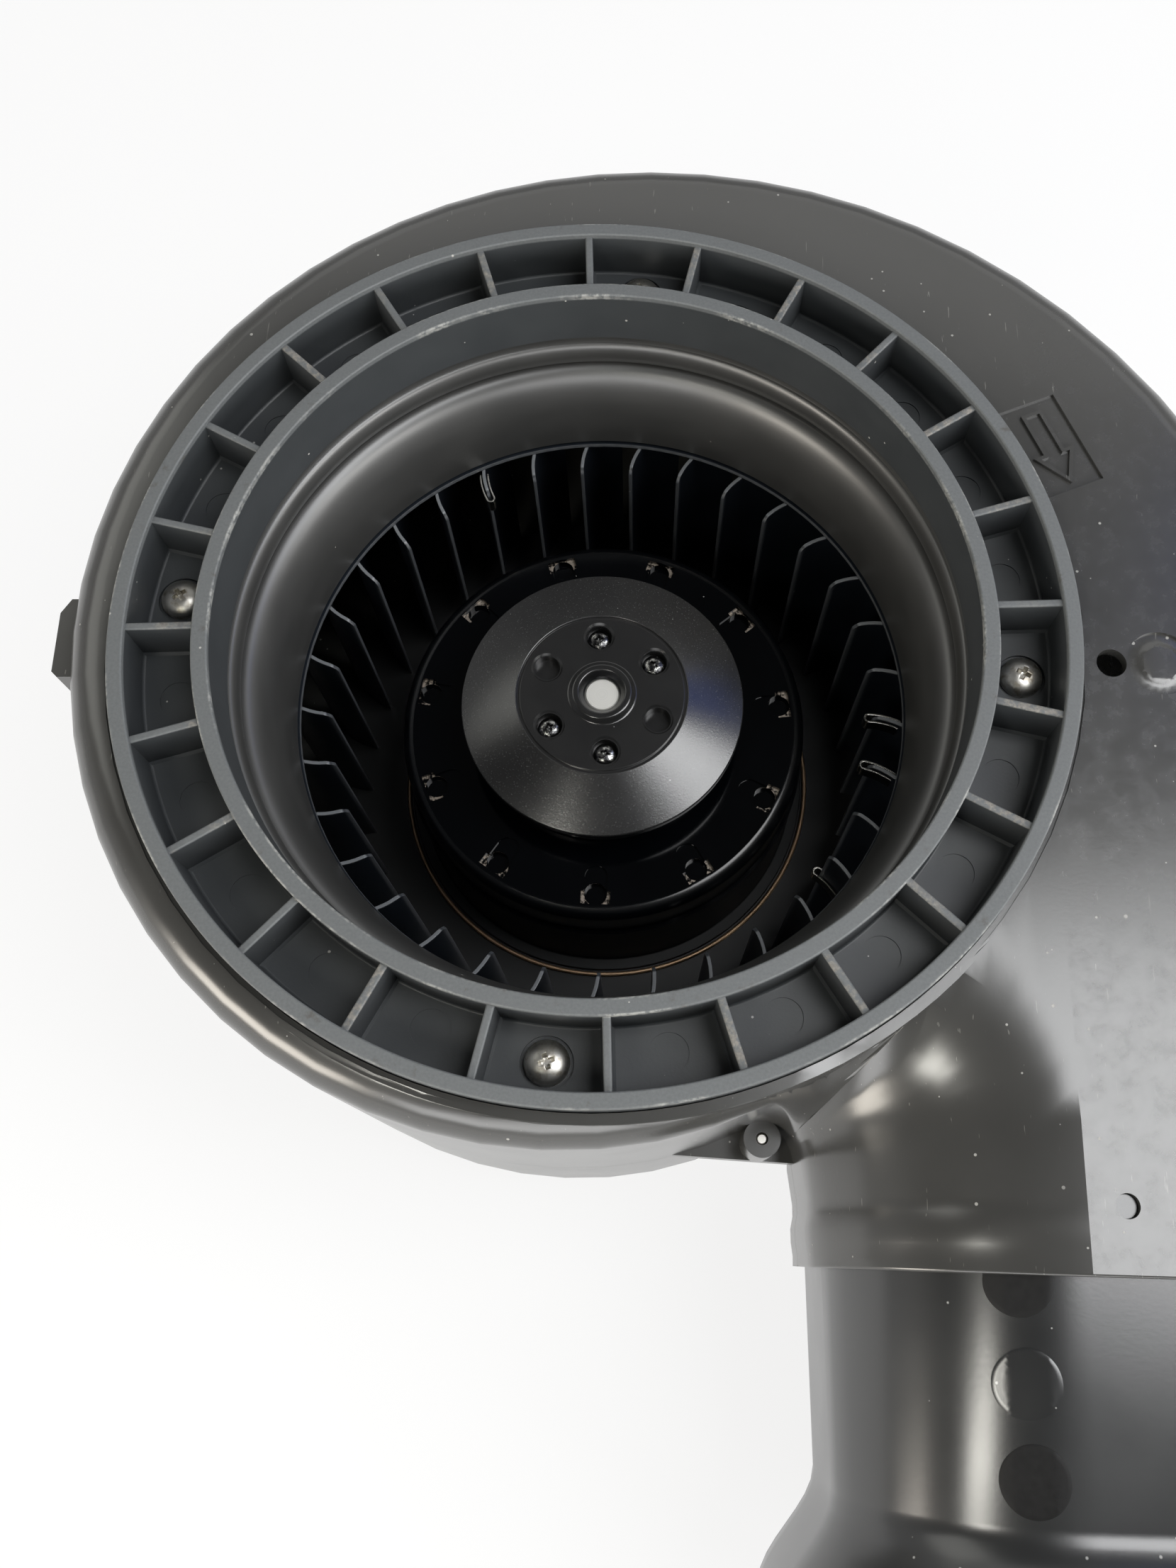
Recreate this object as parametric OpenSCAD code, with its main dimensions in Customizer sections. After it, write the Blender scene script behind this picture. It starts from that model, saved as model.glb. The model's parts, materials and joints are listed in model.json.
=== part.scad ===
// Centrifugal blower: a black two-shell scroll with a ribbed inlet ring and a rounded outlet,
// and a forward-curved impeller on an external-rotor motor.
// Millimetres. The origin is on the impeller axis at the top of the inlet ring, +Z points out of
// the inlet, and the outlet points along -Y. The impeller turns clockwise seen from the inlet.

/* [Housing] */
// Height from the back face to the top face
housing_h = 132; // [128:1:150]
// Height of the upper shell, from the joint to the top face
upper_h = 72; // [64:1:78]
// Wall of both shells
shell_t = 3; // [2.4:0.1:3.4]
// Edge radius of the scroll
edge_r = 10; // [6:0.5:13]
// Gap between the inlet ring and the scroll at the tongue
tongue_gap = 4.1; // [3.8:0.1:10]
// Radius that the scroll gains just after the tongue
entry_rise = 7; // [4:0.5:10]
// Turn over which it gains most of that, in degrees
entry_turn = 30; // [20:1:45]
// Radius that a full turn would gain beyond that
turn_rise = 96; // [80:1:110]
// Turn at which the scroll runs into its straight wall, in degrees
wall_turn = 299; // [288:1:304]
// Radius of the corner between the scroll and the outlet
tongue_corner_r = 10; // [8:0.5:13]

/* [Outlet] */
// Near face of the outlet, from the axis
outlet_x = 57; // [52:0.5:60]
// End of the outlet, from the axis
outlet_y = 151.3; // [148:0.1:160]
// Width of the rounded near shoulder
shoulder_w = 54.5; // [48:0.5:58]
// Height of the rounded near shoulder
shoulder_h = 50; // [40:0.5:54]
// Radius of the far edges at the outlet's end
far_edge_r = 36; // [20:0.5:44]
// How far the shoulder swells behind the outlet's collar
swell = 1.5; // [0:0.1:2.5]
// Height of the rolled bead on the collar
bead = 0.8; // [0:0.1:1.5]

/* [Outlet duct] */
// Gap between the duct and the outlet
duct_gap = 0.3; // [0.2:0.05:0.6]
// Wall of the duct
duct_t = 2.6; // [2:0.1:3.2]
// Length of duct inside the outlet
duct_inside = 26; // [15:1:30]
// Straight length outside the outlet
duct_straight = 49; // [30:1:70]
// Length of the flare
flare_len = 28; // [18:1:40]
// How far the flare widens on each side
flare_out = 14.5; // [8:0.5:20]
// How much the straight part narrows towards the flare, each side
duct_draft = 1.6; // [0:0.1:2.5]
// Length of the socket past the flare
socket_len = 22; // [12:1:40]
// Diameter of the duct's locating peg
peg_d = 5; // [4:0.1:7]
// How far the peg lies inside the outlet's end
peg_in = 14.6; // [10:0.1:20]

/* [Inlet ring] */
// Outer radius of the ring
ring_r = 120.4; // [118:0.1:121]
// Width of the ring, from the outside of its collar to its rim
ring_w = 20.4; // [18:0.1:24]
// Wall of the collar
collar_t = 4.1; // [3:0.1:5]
// Outer wall of the ring
ring_t = 3.9; // [3:0.1:5]
// Depth of the pockets
pocket_d = 15; // [12:0.5:18]
// Thickness of the floor
ring_floor_t = 2.5; // [2:0.1:3.5]
// Number of ribs
ribs = 24; // [16:4:32]
// Thickness of a rib
rib_t = 2; // [1.4:0.1:3]
// How far the ribs stay below the rims
rib_drop = 1.2; // [0.4:0.1:4]
// Angle of the first rib
rib_a = 93.55; // [0:0.05:180]
// How far the ring stands above the top face
ring_stand = 4; // [2:0.5:6]
// How far the ring screws lie outside the middle of the pockets
ring_screw_off = 0.55; // [-1:0.05:1]
// Head diameter of the ring screws
ring_screw_head = 10.8; // [8:0.1:12]
// Head height of the ring screws
ring_head_h = 4; // [2.5:0.1:5]
// Depth of the ring screws' counterbores
ring_seat = 0.8; // [0.3:0.1:1.2]
// Shank diameter of the ring screws
ring_screw_d = 4; // [3:0.1:5]

/* [Inlet nozzle] */
// How far the bell closes in, from its start to the throat
bell_w = 8.3; // [6:0.1:11]
// Depth of the throat below the top of the ring
throat_z = 55; // [50:0.5:58]
// Wall of the nozzle
nozzle_t = 1.5; // [1.2:0.1:2]
// Depth at which the bell starts
bell_start = 28.5; // [26:0.5:34]
// Gap between the bell's start and the collar's bore
bell_gap = 0.7; // [0.3:0.1:2]
// Height of the rolled lip above the bell
lip_h = 1.3; // [0.6:0.1:2]

/* [Impeller] */
// Number of blades
blades = 33; // [24:1:43]
// Inner radius of the blades
blade_in_r = 78; // [74:0.5:82]
// Width of the blades, from their inner to their outer radius
blade_w = 20; // [14:0.5:26]
// Radius of curvature of a blade
blade_curve_r = 22; // [18:0.5:30]
// Thickness of a blade
blade_t = 1; // [0.6:0.1:1.6]
// Angle of the first blade
blade_a = 97; // [0:0.1:360]
// Radius of the blades' front inner corners
blade_corner_r = 3; // [1:0.1:5]
// How far the blades reach inside the front ring
blade_lap = 8.4; // [6:0.1:11]
// Thickness of the front ring and the back plate
plate_t = 1.5; // [1:0.1:2.5]
// Gap between the nozzle and the front ring
front_gap = 1; // [0.5:0.1:3]
// Room behind the impeller, from its back plate to the back face
back_room = 13; // [12:0.5:24]

/* [Rotor] */
// Radius of the bell's side
bell_side_r = 60; // [57:0.5:62]
// Wall of the bell
bell_t = 4; // [3:0.1:5]
// Depth of the bell's front face
bell_z = 68; // [66:0.5:72]
// Width of the flange at the bell's open end
bell_flange_w = 4.6; // [3:0.1:10]
// Number of balancing notches
notches = 11; // [7:1:15]
// How far the middles of the notches lie inside the bell's side
notch_in = 7; // [6:0.5:10]
// Width of a notch
notch_w = 9; // [6:0.5:11]
// Radius of the hub cone's foot
cone_r = 40.6; // [38:0.1:44]
// Depth of the cone's lower edge
cone_z = 56; // [54:0.5:60]
// Radius of the hub's front disc
disc_r = 23.5; // [22.5:0.1:26]
// Depth of the hub's front disc
disc_z = 50.2; // [47:0.1:52]
// Pitch radius of the hub screws
hub_screw_pr = 17.66; // [16:0.01:18]
// Diameter of the counterbores in the hub
hub_bore_d = 8; // [7:0.1:9]
// Shank diameter of the hub screws
hub_screw_d = 4; // [3:0.1:4.5]
// Shaft diameter
shaft_d = 10; // [8:0.1:12]

/* [Motor] */
// Radius of the stator core
stator_r = 42; // [38:0.5:44]
// Room behind the stator's end turn
coil_room = 6.5; // [4:0.5:12]
// Air gap between stator and rotor
air_gap = 0.4; // [0.3:0.05:0.8]
// Number of stator slots
slots = 12; // [8:2:18]
// Outer radius of the bearing tube
tube_r = 19; // [17.5:0.1:21]
// Bearing outside diameter
bearing_d = 30; // [26:0.5:32]
// Bearing width
bearing_w = 9; // [7:0.5:11]
// Radius of the motor flange
flange_r = 56; // [52:0.5:60]
// Thickness of the motor flange
flange_t = 4; // [3:0.1:5]
// Pitch radius of the flange screws
flange_screw_pr = 45; // [40:0.5:49]
// Shank diameter of the flange screws
flange_screw_d = 4; // [3:0.1:5]
// Head diameter of the flange screws
flange_head_d = 8; // [6:0.1:9]
// Head height of the flange screws
flange_head_h = 2.2; // [1.5:0.1:3]
// Gap between the motor flange and the turning bell
flange_gap = 2; // [1:0.1:4]

/* [Screw posts] */
// Radius of a screw post
post_r = 4.8; // [4:0.1:5.5]
// Height of the post at the tongue
post_h = 19; // [12:0.5:24]
// Height of the other posts
ear_post_h = 9; // [6:0.5:14]
// Thickness of the ears at the joint
ear_t = 3; // [2:0.1:4]
// How far the ears' screws lie outside the wall
ear_reach = 5.5; // [4.5:0.1:9]
// Shank diameter of the housing screws
housing_screw_d = 3; // [2.5:0.1:3.5]
// Head diameter of the housing screws
housing_head_d = 6; // [5:0.1:7]
// Head height of the housing screws
housing_head_h = 2.4; // [1.8:0.1:3]

/* [Hidden] */
$fn = 96;

// Clearances
fit_gap = 0.3;       // loose seat between pieces
hole_gap = 0.1;      // screw shank in its hole, radius
bearing_gap = 0.03;  // shaft in its bearings, radius
seat_gap = 0.05;     // core on the bearing tube and in the bell, radius
over = 1;            // how far a cut runs past a face
joint_room = 2;      // upright wall left between a shoulder and the joint

// Heights
top_z = -ring_stand;
joint_z = top_z - upper_h;
back_z = top_z - housing_h;
floor_z = -pocket_d;
ring_base_z = floor_z - ring_floor_t;
ledge_z = ring_base_z - nozzle_t;
front_z = -(throat_z + front_gap);
plate_z = back_z + back_room;

// Radii, each from the piece that it fits
pocket_r = ring_r - ring_t;
collar_r = ring_r - ring_w;
collar_in_r = collar_r - collar_t;
ring_screw_pr = (collar_r + pocket_r) / 2 + ring_screw_off;
bell_r = collar_in_r - bell_gap;
throat_r = bell_r - bell_w;
tongue_r = ring_r + tongue_gap;
front_ring_r = blade_in_r + blade_lap;
impeller_r = blade_in_r + blade_w;
bell_flange_r = bell_side_r + bell_flange_w;
notch_pr = bell_side_r - notch_in;

function polar(r, a) = [r * cos(a), r * sin(a)];
function mix(a, b, f) = a + (b - a) * f;
function smooth(f) = let (g = min(max(f, 0), 1)) g * g * (3 - 2 * g);
function at_height(p, z) = [p.x, p.y, z];

// Outline of the scroll, t degrees clockwise after the tongue
corner_x = outlet_x - tongue_corner_r;
corner = [corner_x, -sqrt(pow(tongue_r + tongue_corner_r, 2) - corner_x * corner_x)];
tongue_a = atan2(corner.y, corner.x);
function scroll_r(t) = tongue_r + entry_rise * (1 - exp(-t / entry_turn)) + turn_rise * pow(t / 360, 3);
function scroll_slope(t) = 180 / PI * (entry_rise / entry_turn * exp(-t / entry_turn)
    + 3 * turn_rise * t * t / pow(360, 3));
function scroll_point(t) = polar(scroll_r(t), tongue_a - t);
function scroll_inward(t) = let (r = scroll_r(t), s = scroll_slope(t), a = tongue_a - t)
    -(r * polar(1, a) + s * polar(1, a + 90)) / norm([r, s]);
wall_start = scroll_point(wall_turn);
far_x = wall_start.x;

// Stations of the shells: up the outlet's near wall, round the tongue corner, round the scroll and
// down the far wall. The two walls share the points of a spine on the flat face between them.
near_len = outlet_y + corner.y;
collar_steps = [for (f = [0, 0.1, 0.24, 0.38, 0.51, 0.63]) f * near_len];
wall_n = len(collar_steps) + 1;
fan_spine_n = 7;
fan_trim_n = 9;
scroll_step = 6;
scroll_n = floor(wall_turn / scroll_step);
far_n = 4;
spine_n = wall_n + fan_spine_n;
spine_gap = 6;
fan_end = tongue_a + 180;
function wall_y(k) = k < wall_n - 1 ? collar_steps[k] - outlet_y : corner.y;

// Swell of the outlet's outside: a bead on the collar, then a step up to the shoulder
function outlet_swell(y) = let (f = (y + outlet_y) / near_len)
    bead * smooth(1 - abs(f - 0.32) / 0.2) + swell * smooth((f - 0.6) / 0.28);

// Distance from b along n to the opening of radius r, or far if the ray misses it
function reach(b, n, r) = let (h = b * n, q = h * h - b * b + r * r) q < 0 ? 1000 : -h - sqrt(q);
function angle_of(p) = atan2(p.y, p.x);

// Shoulder round the tongue corner: wide along the outlet, then closing down to the scroll's edge
fan_bulge = 4;
function shoulder_of(side) = min(shoulder_h, (side > 0 ? upper_h : housing_h - upper_h) - joint_room);
function fan_w(a) = mix(shoulder_w + fan_bulge * smooth(a / 32), edge_r, smooth((a - 36) / (fan_end - 36)));
function fan_h(a, sh) = mix(sh, edge_r, smooth((a - 30) / (fan_end - 30)));
function fan_point(a) = corner + tongue_corner_r * polar(1, a);

// A station is [point, inward direction, shoulder width, shoulder height, inner end, swell, room]
function near_station(k, sh) = let (b = [outlet_x, wall_y(k)]) [b, [1, 0], shoulder_w, sh,
    b + [shoulder_w + spine_gap, 0], outlet_swell(b.y), 1000];
function fan_station(a, e, open_r, sh) = let (b = fan_point(a), n = polar(1, a))
    [b, n, fan_w(a), fan_h(a, sh), e, swell * (1 - a / fan_end), reach(b, n, open_r)];
function spine_end(a) = fan_point(a) + (fan_w(a) + spine_gap) * polar(1, a);
function scroll_station(t, open_r) = [scroll_point(t), scroll_inward(t), edge_r, edge_r,
    polar(open_r, tongue_a - t), 0, scroll_r(t) - open_r];
function far_station(y, e) = let (r = mix(edge_r, far_edge_r,
    smooth((wall_start.y - y) / (wall_start.y + outlet_y)))) [[far_x, y], [-1, 0], r, r, e, 0, 1000];

// The fan's rays first end on the spine, then slide along the opening, then are cut off by it
function graze(open_r) = fan_end - asin(open_r / (tongue_r + tongue_corner_r));
spine_turn = 45;
function spine_place(a, to_a, open_r) = let (turn_a = min(to_a, spine_turn), e = spine_end(turn_a))
    a < turn_a ? spine_end(a)
        : mix(e, polar(open_r, angle_of(e)), to_a > turn_a ? (a - turn_a) / (to_a - turn_a) : 1);
function spine_fan(open_r, sh) = let (to_a = graze(open_r) - 0.5) [for (k = [1:fan_spine_n])
    let (a = to_a * k / fan_spine_n)
        fan_station(a, spine_place(k < fan_spine_n ? a : to_a, to_a, open_r), open_r, sh)];
function slide_fan(open_r, from_a, sh) = let (to_a = graze(open_r) - 90)
    to_a > from_a ? [] : [for (f = [1, 2]) fan_station(graze(open_r) + f / 4 - 0.5,
        polar(open_r, mix(from_a, to_a, f / 2.5)), open_r, sh)];
function trim_fan(open_r, from_a, sh) = [for (k = [1:fan_trim_n])
    let (a = mix(graze(open_r), fan_end, pow(k / fan_trim_n, 1.6)), b = fan_point(a), n = polar(1, a),
        d = reach(b, n, open_r))
    fan_station(a, polar(open_r, d < fan_w(a) ? angle_of(b + d * n)
        : mix(from_a, tongue_a, k / fan_trim_n)), open_r, sh)];
function stations(open_r, sh) =
    let (spine = concat([for (k = [0:wall_n - 1]) near_station(k, sh)], spine_fan(open_r, sh)),
        root = spine[spine_n - 1][4], root_a = angle_of(root), wall_a = angle_of(wall_start))
    concat(spine, slide_fan(open_r, root_a, sh), trim_fan(open_r, root_a, sh),
        [for (k = [1:scroll_n - 1]) scroll_station(k * scroll_step, open_r)],
        [for (k = [0:far_n]) far_station(mix(wall_start.y, root.y, k / (far_n + 1)),
            polar(open_r, mix(wall_a, root_a, k / (far_n + 1))))],
        [for (k = [spine_n - 1:-1:0]) far_station(spine[k][4].y, spine[k][4])]);

// Cross-section of a shell at a station, from the joint over the shoulder to the inner end and back
arc_n = 9;
section_n = arc_n + 3;
function arc_end(w, room) = room < w ? acos((w - room) / w) : 90;
function arc_point(s, c, r, b, zc, side) =
    at_height(s[0] + (c - r.x * cos(b)) * s[1], zc + side * r.y * sin(b));
function section(s, face_z, side) =
    let (w = s[2], h = s[3], room = s[6], t = min(shell_t, 0.7 * room), zc = face_z - side * h,
        be = arc_end(w, room), bi = room < w ? acos(min((w - room) / (w - t), 1)) : 90,
        ze = zc + side * h * sin(be), zi = zc + side * (h - t) * sin(bi), f = (room < w ? 0.97 : 1) / arc_n)
    concat(
        [at_height(s[0] - s[5] * s[1], joint_z)],
        [for (k = [0:arc_n]) arc_point(s, w, [w + s[5], h], be * k * f, zc, side)],
        [at_height(s[4], ze), at_height(s[4], zi)],
        [for (k = [arc_n:-1:0]) arc_point(s, w, [w - t, h - t], bi * k * f, zc, side)],
        [at_height(s[0] + t * s[1], joint_z)]);
function turn(f, side) = side > 0 ? f : [f[2], f[1], f[0]];

// One shell of the scroll, open at the joint, at the outlet and round the opening in its flat face
module scroll_shell(face_z, side, open_r) {
    list = stations(open_r, shoulder_of(side));
    n = len(list);
    p = 2 * section_n;
    points = [for (s = list) each section(s, face_z, side)];
    skin = [for (j = [0:n - 2], k = [0:p - 1])
        let (k2 = (k + 1) % p, on_spine = j < spine_n - 1 || j >= n - spine_n)
        if (!(on_spine && k == section_n - 1))
            each [[j * p + k, j * p + p + k, j * p + p + k2], [j * p + k, j * p + p + k2, j * p + k2]]];
    ends = [for (k = [0:section_n - 2])
        let (i = p - 1 - k, m = (n - 1) * p)
            each [[k, k + 1, i - 1], [k, i - 1, i],
                [m + k, m + i - 1, m + k + 1], [m + k, m + i, m + i - 1]]];
    polyhedron(points, [for (f = concat(skin, ends)) turn(f, side)], convexity = 8);
}

// Recess that the inlet ring sits in, with the ledge that it is screwed to
recess_r = ring_r + fit_gap;
recess_t = 2.5;
recess_edge_r = recess_r + recess_t / 2;
rim_step = 0.4;
ledge_t = 2.5;
ledge_w = 3;
ledge_in_r = collar_r + ledge_w;
head_gap = 0.9;      // screw head in its counterbore, radius
ring_screw_a = [for (k = [0:3]) rib_a - 180 / ribs - 90 * k];
module ring_recess() {
    rotate_extrude()
        polygon([[recess_r, top_z - rim_step], [recess_r + recess_t, top_z - rim_step],
            [recess_r + recess_t, ledge_z - ledge_t], [ledge_in_r, ledge_z - ledge_t], [ledge_in_r, ledge_z],
            [recess_r, ledge_z]]);
}

// Screw posts: one in the tongue corner, the others on ears round the joint
tongue_post = corner + [-1, 5.5];
ear_r = 6;
ear_gap = 0.2;       // the ears stay clear of the joint, so that the rims meet
ear_angles = [150, 75, 8];
far_ear_in = 33.3;
far_ear_y = far_ear_in - outlet_y;
function ear_at(t) = let (out = -scroll_inward(t)) [scroll_point(t) + ear_reach * out, angle_of(out)];
ears = concat([for (a = ear_angles) ear_at(tongue_a + 360 - a)], [[[far_x + ear_reach, far_ear_y], 0]]);
posts = concat([tongue_post], [for (e = ears) e[0]]);
module ear_plate(e, z) {
    root = -ear_reach - shell_t / 2;
    translate(at_height(e[0], z)) rotate(e[1]) linear_extrude(ear_t - ear_gap)
        polygon(concat([[root, ear_r], [root, -ear_r]], [for (a = [-90:15:90]) polar(ear_r, a)]));
}
module tongue_plate(z) {
    translate([0, 0, z]) linear_extrude(ear_t - ear_gap)
        polygon([for (p = [[-26, 2], [-26, 5], [-4, 11], [2.5, 11.4], [8, 8.5], [11, 0.5]])
            corner + p * (tongue_corner_r + shell_t / 2) / 11.5]);
}

module screw_post(p, h) {
    translate(at_height(p, joint_z + ear_t / 2)) cylinder(r = post_r, h = h - ear_t / 2);
}

// Raised lug on the side of the upper shell
lug_a = -178;
lug_w = 22;
lug_h = 18;
lug_out = 5;
module side_lug() {
    r = scroll_r(tongue_a + 360 - lug_a - 360);
    rotate(lug_a) translate([r - shell_t / 2, 0, top_z - edge_r - lug_h])
        linear_extrude(lug_h)
            polygon([[0, -lug_w / 2], [lug_out - 1, -lug_w / 2], [lug_out + shell_t / 2, -lug_w / 2 + 4],
                [lug_out + shell_t / 2, lug_w / 2 - 1.5], [lug_out, lug_w / 2], [0, lug_w / 2]]);
}

// Small features of the flat face
fixing_out = 7.937;
fixing_hole = polar(ring_r + fixing_out, -3.4844);
fixing_hole_d = 7.5;
dimple_out = 20.195;
dimple = polar(ring_r + dimple_out, -3.0171);
dimple_d = 17;
mark_d = 0.8;
peg_across = 63.2;
duct_hole = [outlet_x + peg_across, peg_in - outlet_y];
duct_hole_d = peg_d + 2 * hole_gap + 0.2;
arrow_out = 9.335;
arrow_c = polar(ring_r + arrow_out, 25.084);
arrow_a = 24;
module dimple_groove() {
    translate(at_height(dimple, top_z - mark_d)) difference() {
        cylinder(d = dimple_d, h = mark_d + over);
        cylinder(d1 = dimple_d - 4, d2 = dimple_d - 8, h = mark_d - 0.1);
    }
}
// Rotation arrow standing in a sunk panel
module arrow_panel() {
    translate(at_height(arrow_c, top_z - mark_d)) rotate(arrow_a) linear_extrude(mark_d + over) difference() {
        square([16.5, 28], center = true);
        difference() {
            polygon([[-3, 11], [3, 11], [3, -2], [6, -2], [0, -12], [-6, -2], [-3, -2]]);
            polygon([[-2, 10], [2, 10], [2, -3], [4.2, -3], [0, -10.2], [-4.2, -3], [-2, -3]]);
        }
    }
}

module upper_scroll() {
    color([0.1, 0.1, 0.09]) difference() {
        union() {
            scroll_shell(top_z, 1, recess_edge_r);
            ring_recess();
            for (e = ears) {
                ear_plate(e, joint_z + ear_gap);
                screw_post(e[0], ear_post_h);
            }
            tongue_plate(joint_z + ear_gap);
            screw_post(tongue_post, post_h);
            side_lug();
        }
        for (a = ring_screw_a) rotate(a) translate([ring_screw_pr, 0, ledge_z - ledge_t - over])
            cylinder(d = ring_screw_d + 2 * hole_gap, h = ledge_t + 2 * over);
        for (p = posts) translate(at_height(p, joint_z - over))
            cylinder(d = housing_screw_d + 2 * hole_gap, h = post_h + 2 * over);
        translate(at_height(fixing_hole, top_z - shell_t - over))
            cylinder(d = fixing_hole_d, h = shell_t + 2 * over);
        translate(at_height(duct_hole, top_z - shell_t - over))
            cylinder(d = duct_hole_d, h = shell_t + 2 * over);
        dimple_groove();
        arrow_panel();
    }
}

// Dished middle of the back face, which carries the motor flange from behind
dish_r = 70;
dish_t = 3;
dish_edge_r = dish_r + dish_t / 2;
flange_z = plate_z - flange_gap - flange_t;
boss_r = 28;
module motor_dish() {
    rotate_extrude()
        polygon([[boss_r + fit_gap, flange_z - dish_t], [dish_r, flange_z - dish_t],
            [dish_r, back_z + rim_step], [dish_r + dish_t, back_z + rim_step], [dish_r + dish_t, flange_z],
            [boss_r + fit_gap, flange_z]]);
}
flange_screw_a = [45, 135, 225, 315];
module lower_scroll() {
    color([0.1, 0.1, 0.09]) difference() {
        union() {
            scroll_shell(back_z, -1, dish_edge_r);
            motor_dish();
            for (e = ears) ear_plate(e, joint_z - ear_t);
            tongue_plate(joint_z - ear_t);
        }
        for (a = flange_screw_a) rotate(a) translate([flange_screw_pr, 0, flange_z - dish_t - over])
            cylinder(d = flange_screw_d + 2 * hole_gap, h = dish_t + 2 * over);
        for (p = posts) translate(at_height(p, joint_z - ear_t - over))
            cylinder(d = housing_screw_d + 2 * hole_gap, h = ear_t + 2 * over);
    }
}

// Pan-head screw standing on z = 0, its shank pointing down
module screw(head_d, head_h, shank_d, shank_l) {
    rotate_extrude()
        polygon(concat([[0, -shank_l], [shank_d / 2 - 0.4, -shank_l], [shank_d / 2, 0.4 - shank_l],
            [shank_d / 2, 0], [head_d / 2, 0]],
            [for (a = [0:15:90]) [head_d / 2 * cos(a), head_h * (0.25 + 0.75 * sin(a))]]));
}

module inlet_ring() {
    color([0.16, 0.18, 0.2]) difference() {
        union() {
            rotate_extrude()
                polygon([[collar_in_r, ring_base_z], [collar_in_r, 0], [collar_r, 0], [collar_r, floor_z],
                    [pocket_r, floor_z], [pocket_r, 0], [ring_r, 0], [ring_r, ring_base_z]]);
            for (k = [0:ribs - 1]) rotate(rib_a - 360 / ribs * k)
                translate([collar_r - collar_t / 2, -rib_t / 2, floor_z - ring_floor_t / 2])
                    cube([pocket_r - collar_r + collar_t / 2 + ring_t / 2, rib_t,
                        pocket_d + ring_floor_t / 2 - rib_drop]);
        }
        for (a = ring_screw_a) rotate(a) translate([ring_screw_pr, 0, ring_base_z - over]) {
            cylinder(d = ring_screw_d + 2 * hole_gap, h = ring_floor_t + 2 * over);
            translate([0, 0, over + ring_floor_t - ring_seat])
                cylinder(d = ring_screw_head + 2 * head_gap, h = ring_seat + over);
        }
    }
}

// Nozzle clamped under the ring: flange, rolled lip, then an elliptical bell down to the throat
lip_top = 3;
module inlet_nozzle() {
    bell_h = throat_z - bell_start;
    lip_z = ring_base_z - lip_top;
    lip_l = bell_start + lip_z;
    flange_in_r = bell_r + 1.4;
    inner = concat([[flange_in_r, ring_base_z], [flange_in_r, lip_z]],
        [for (a = [0:20:180]) [flange_in_r - 0.6 - lip_h * sin(a), lip_z - lip_l * (1 - cos(a)) / 2]],
        [for (u = [0:10:90]) [throat_r + bell_w * (1 - sin(u)), -bell_start - bell_h * (1 - cos(u))]]);
    outer = concat([for (u = [90:-10:0]) [throat_r + bell_w * (1 - sin(u)) + nozzle_t * sin(u),
            -bell_start - bell_h * (1 - cos(u)) - nozzle_t * cos(u)]],
        [[bell_r + nozzle_t + 1.2, -bell_start - nozzle_t], [bell_r + nozzle_t + 1.2, ledge_z],
            [ring_r - fit_gap, ledge_z], [ring_r - fit_gap, ring_base_z]]);
    color([0.14, 0.14, 0.14]) difference() {
        rotate_extrude() polygon(concat(inner, outer));
        for (a = ring_screw_a) rotate(a) translate([ring_screw_pr, 0, ledge_z - over])
            cylinder(d = ring_screw_d + 2 * hole_gap, h = nozzle_t + 2 * over);
    }
}

ring_screw_past = 4;
ring_screw_l = ring_floor_t - ring_seat + nozzle_t + ledge_t + ring_screw_past;
module ring_screws() {
    color([0.75, 0.74, 0.7]) for (a = ring_screw_a) rotate(a)
        translate([ring_screw_pr, 0, floor_z - ring_seat])
            screw(ring_screw_head, ring_head_h, ring_screw_d, ring_screw_l);
}

// Closed outline of the outlet in X and Z, moved in by inset
function oval_corner(c, r, a) = [for (k = [0:arc_n]) let (b = a + 90 * k / arc_n)
    c + [r.x * cos(b), r.y * sin(b)]];
function outlet_oval(inset) = let (h = [shoulder_of(1), shoulder_of(-1)],
        f = [far_edge_r - inset, far_edge_r - inset], nx = outlet_x + shoulder_w, fx = far_x - far_edge_r)
    concat(oval_corner([fx, top_z - far_edge_r], f, 0),
        oval_corner([nx, top_z - h[0]], [shoulder_w - inset, h[0] - inset], 90),
        oval_corner([nx, back_z + h[1]], [shoulder_w - inset, h[1] - inset], 180),
        oval_corner([fx, back_z + far_edge_r], f, 270));

// Duct through [y, inset] rings, outside first and then back along the inside
module oval_tube(rings) {
    list = [for (r = rings) [for (q = outlet_oval(r[1])) [q.x, r[0], q.y]]];
    n = len(list);
    m = len(list[0]);
    points = [for (r = list) each r];
    faces = [for (j = [0:n - 1], k = [0:m - 1])
        let (k2 = (k + 1) % m, i = j * m, i2 = (j + 1) % n * m)
            each [[i + k, i2 + k, i2 + k2], [i + k, i2 + k2, i + k2]]];
    polyhedron(points, faces, convexity = 6);
}

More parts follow.
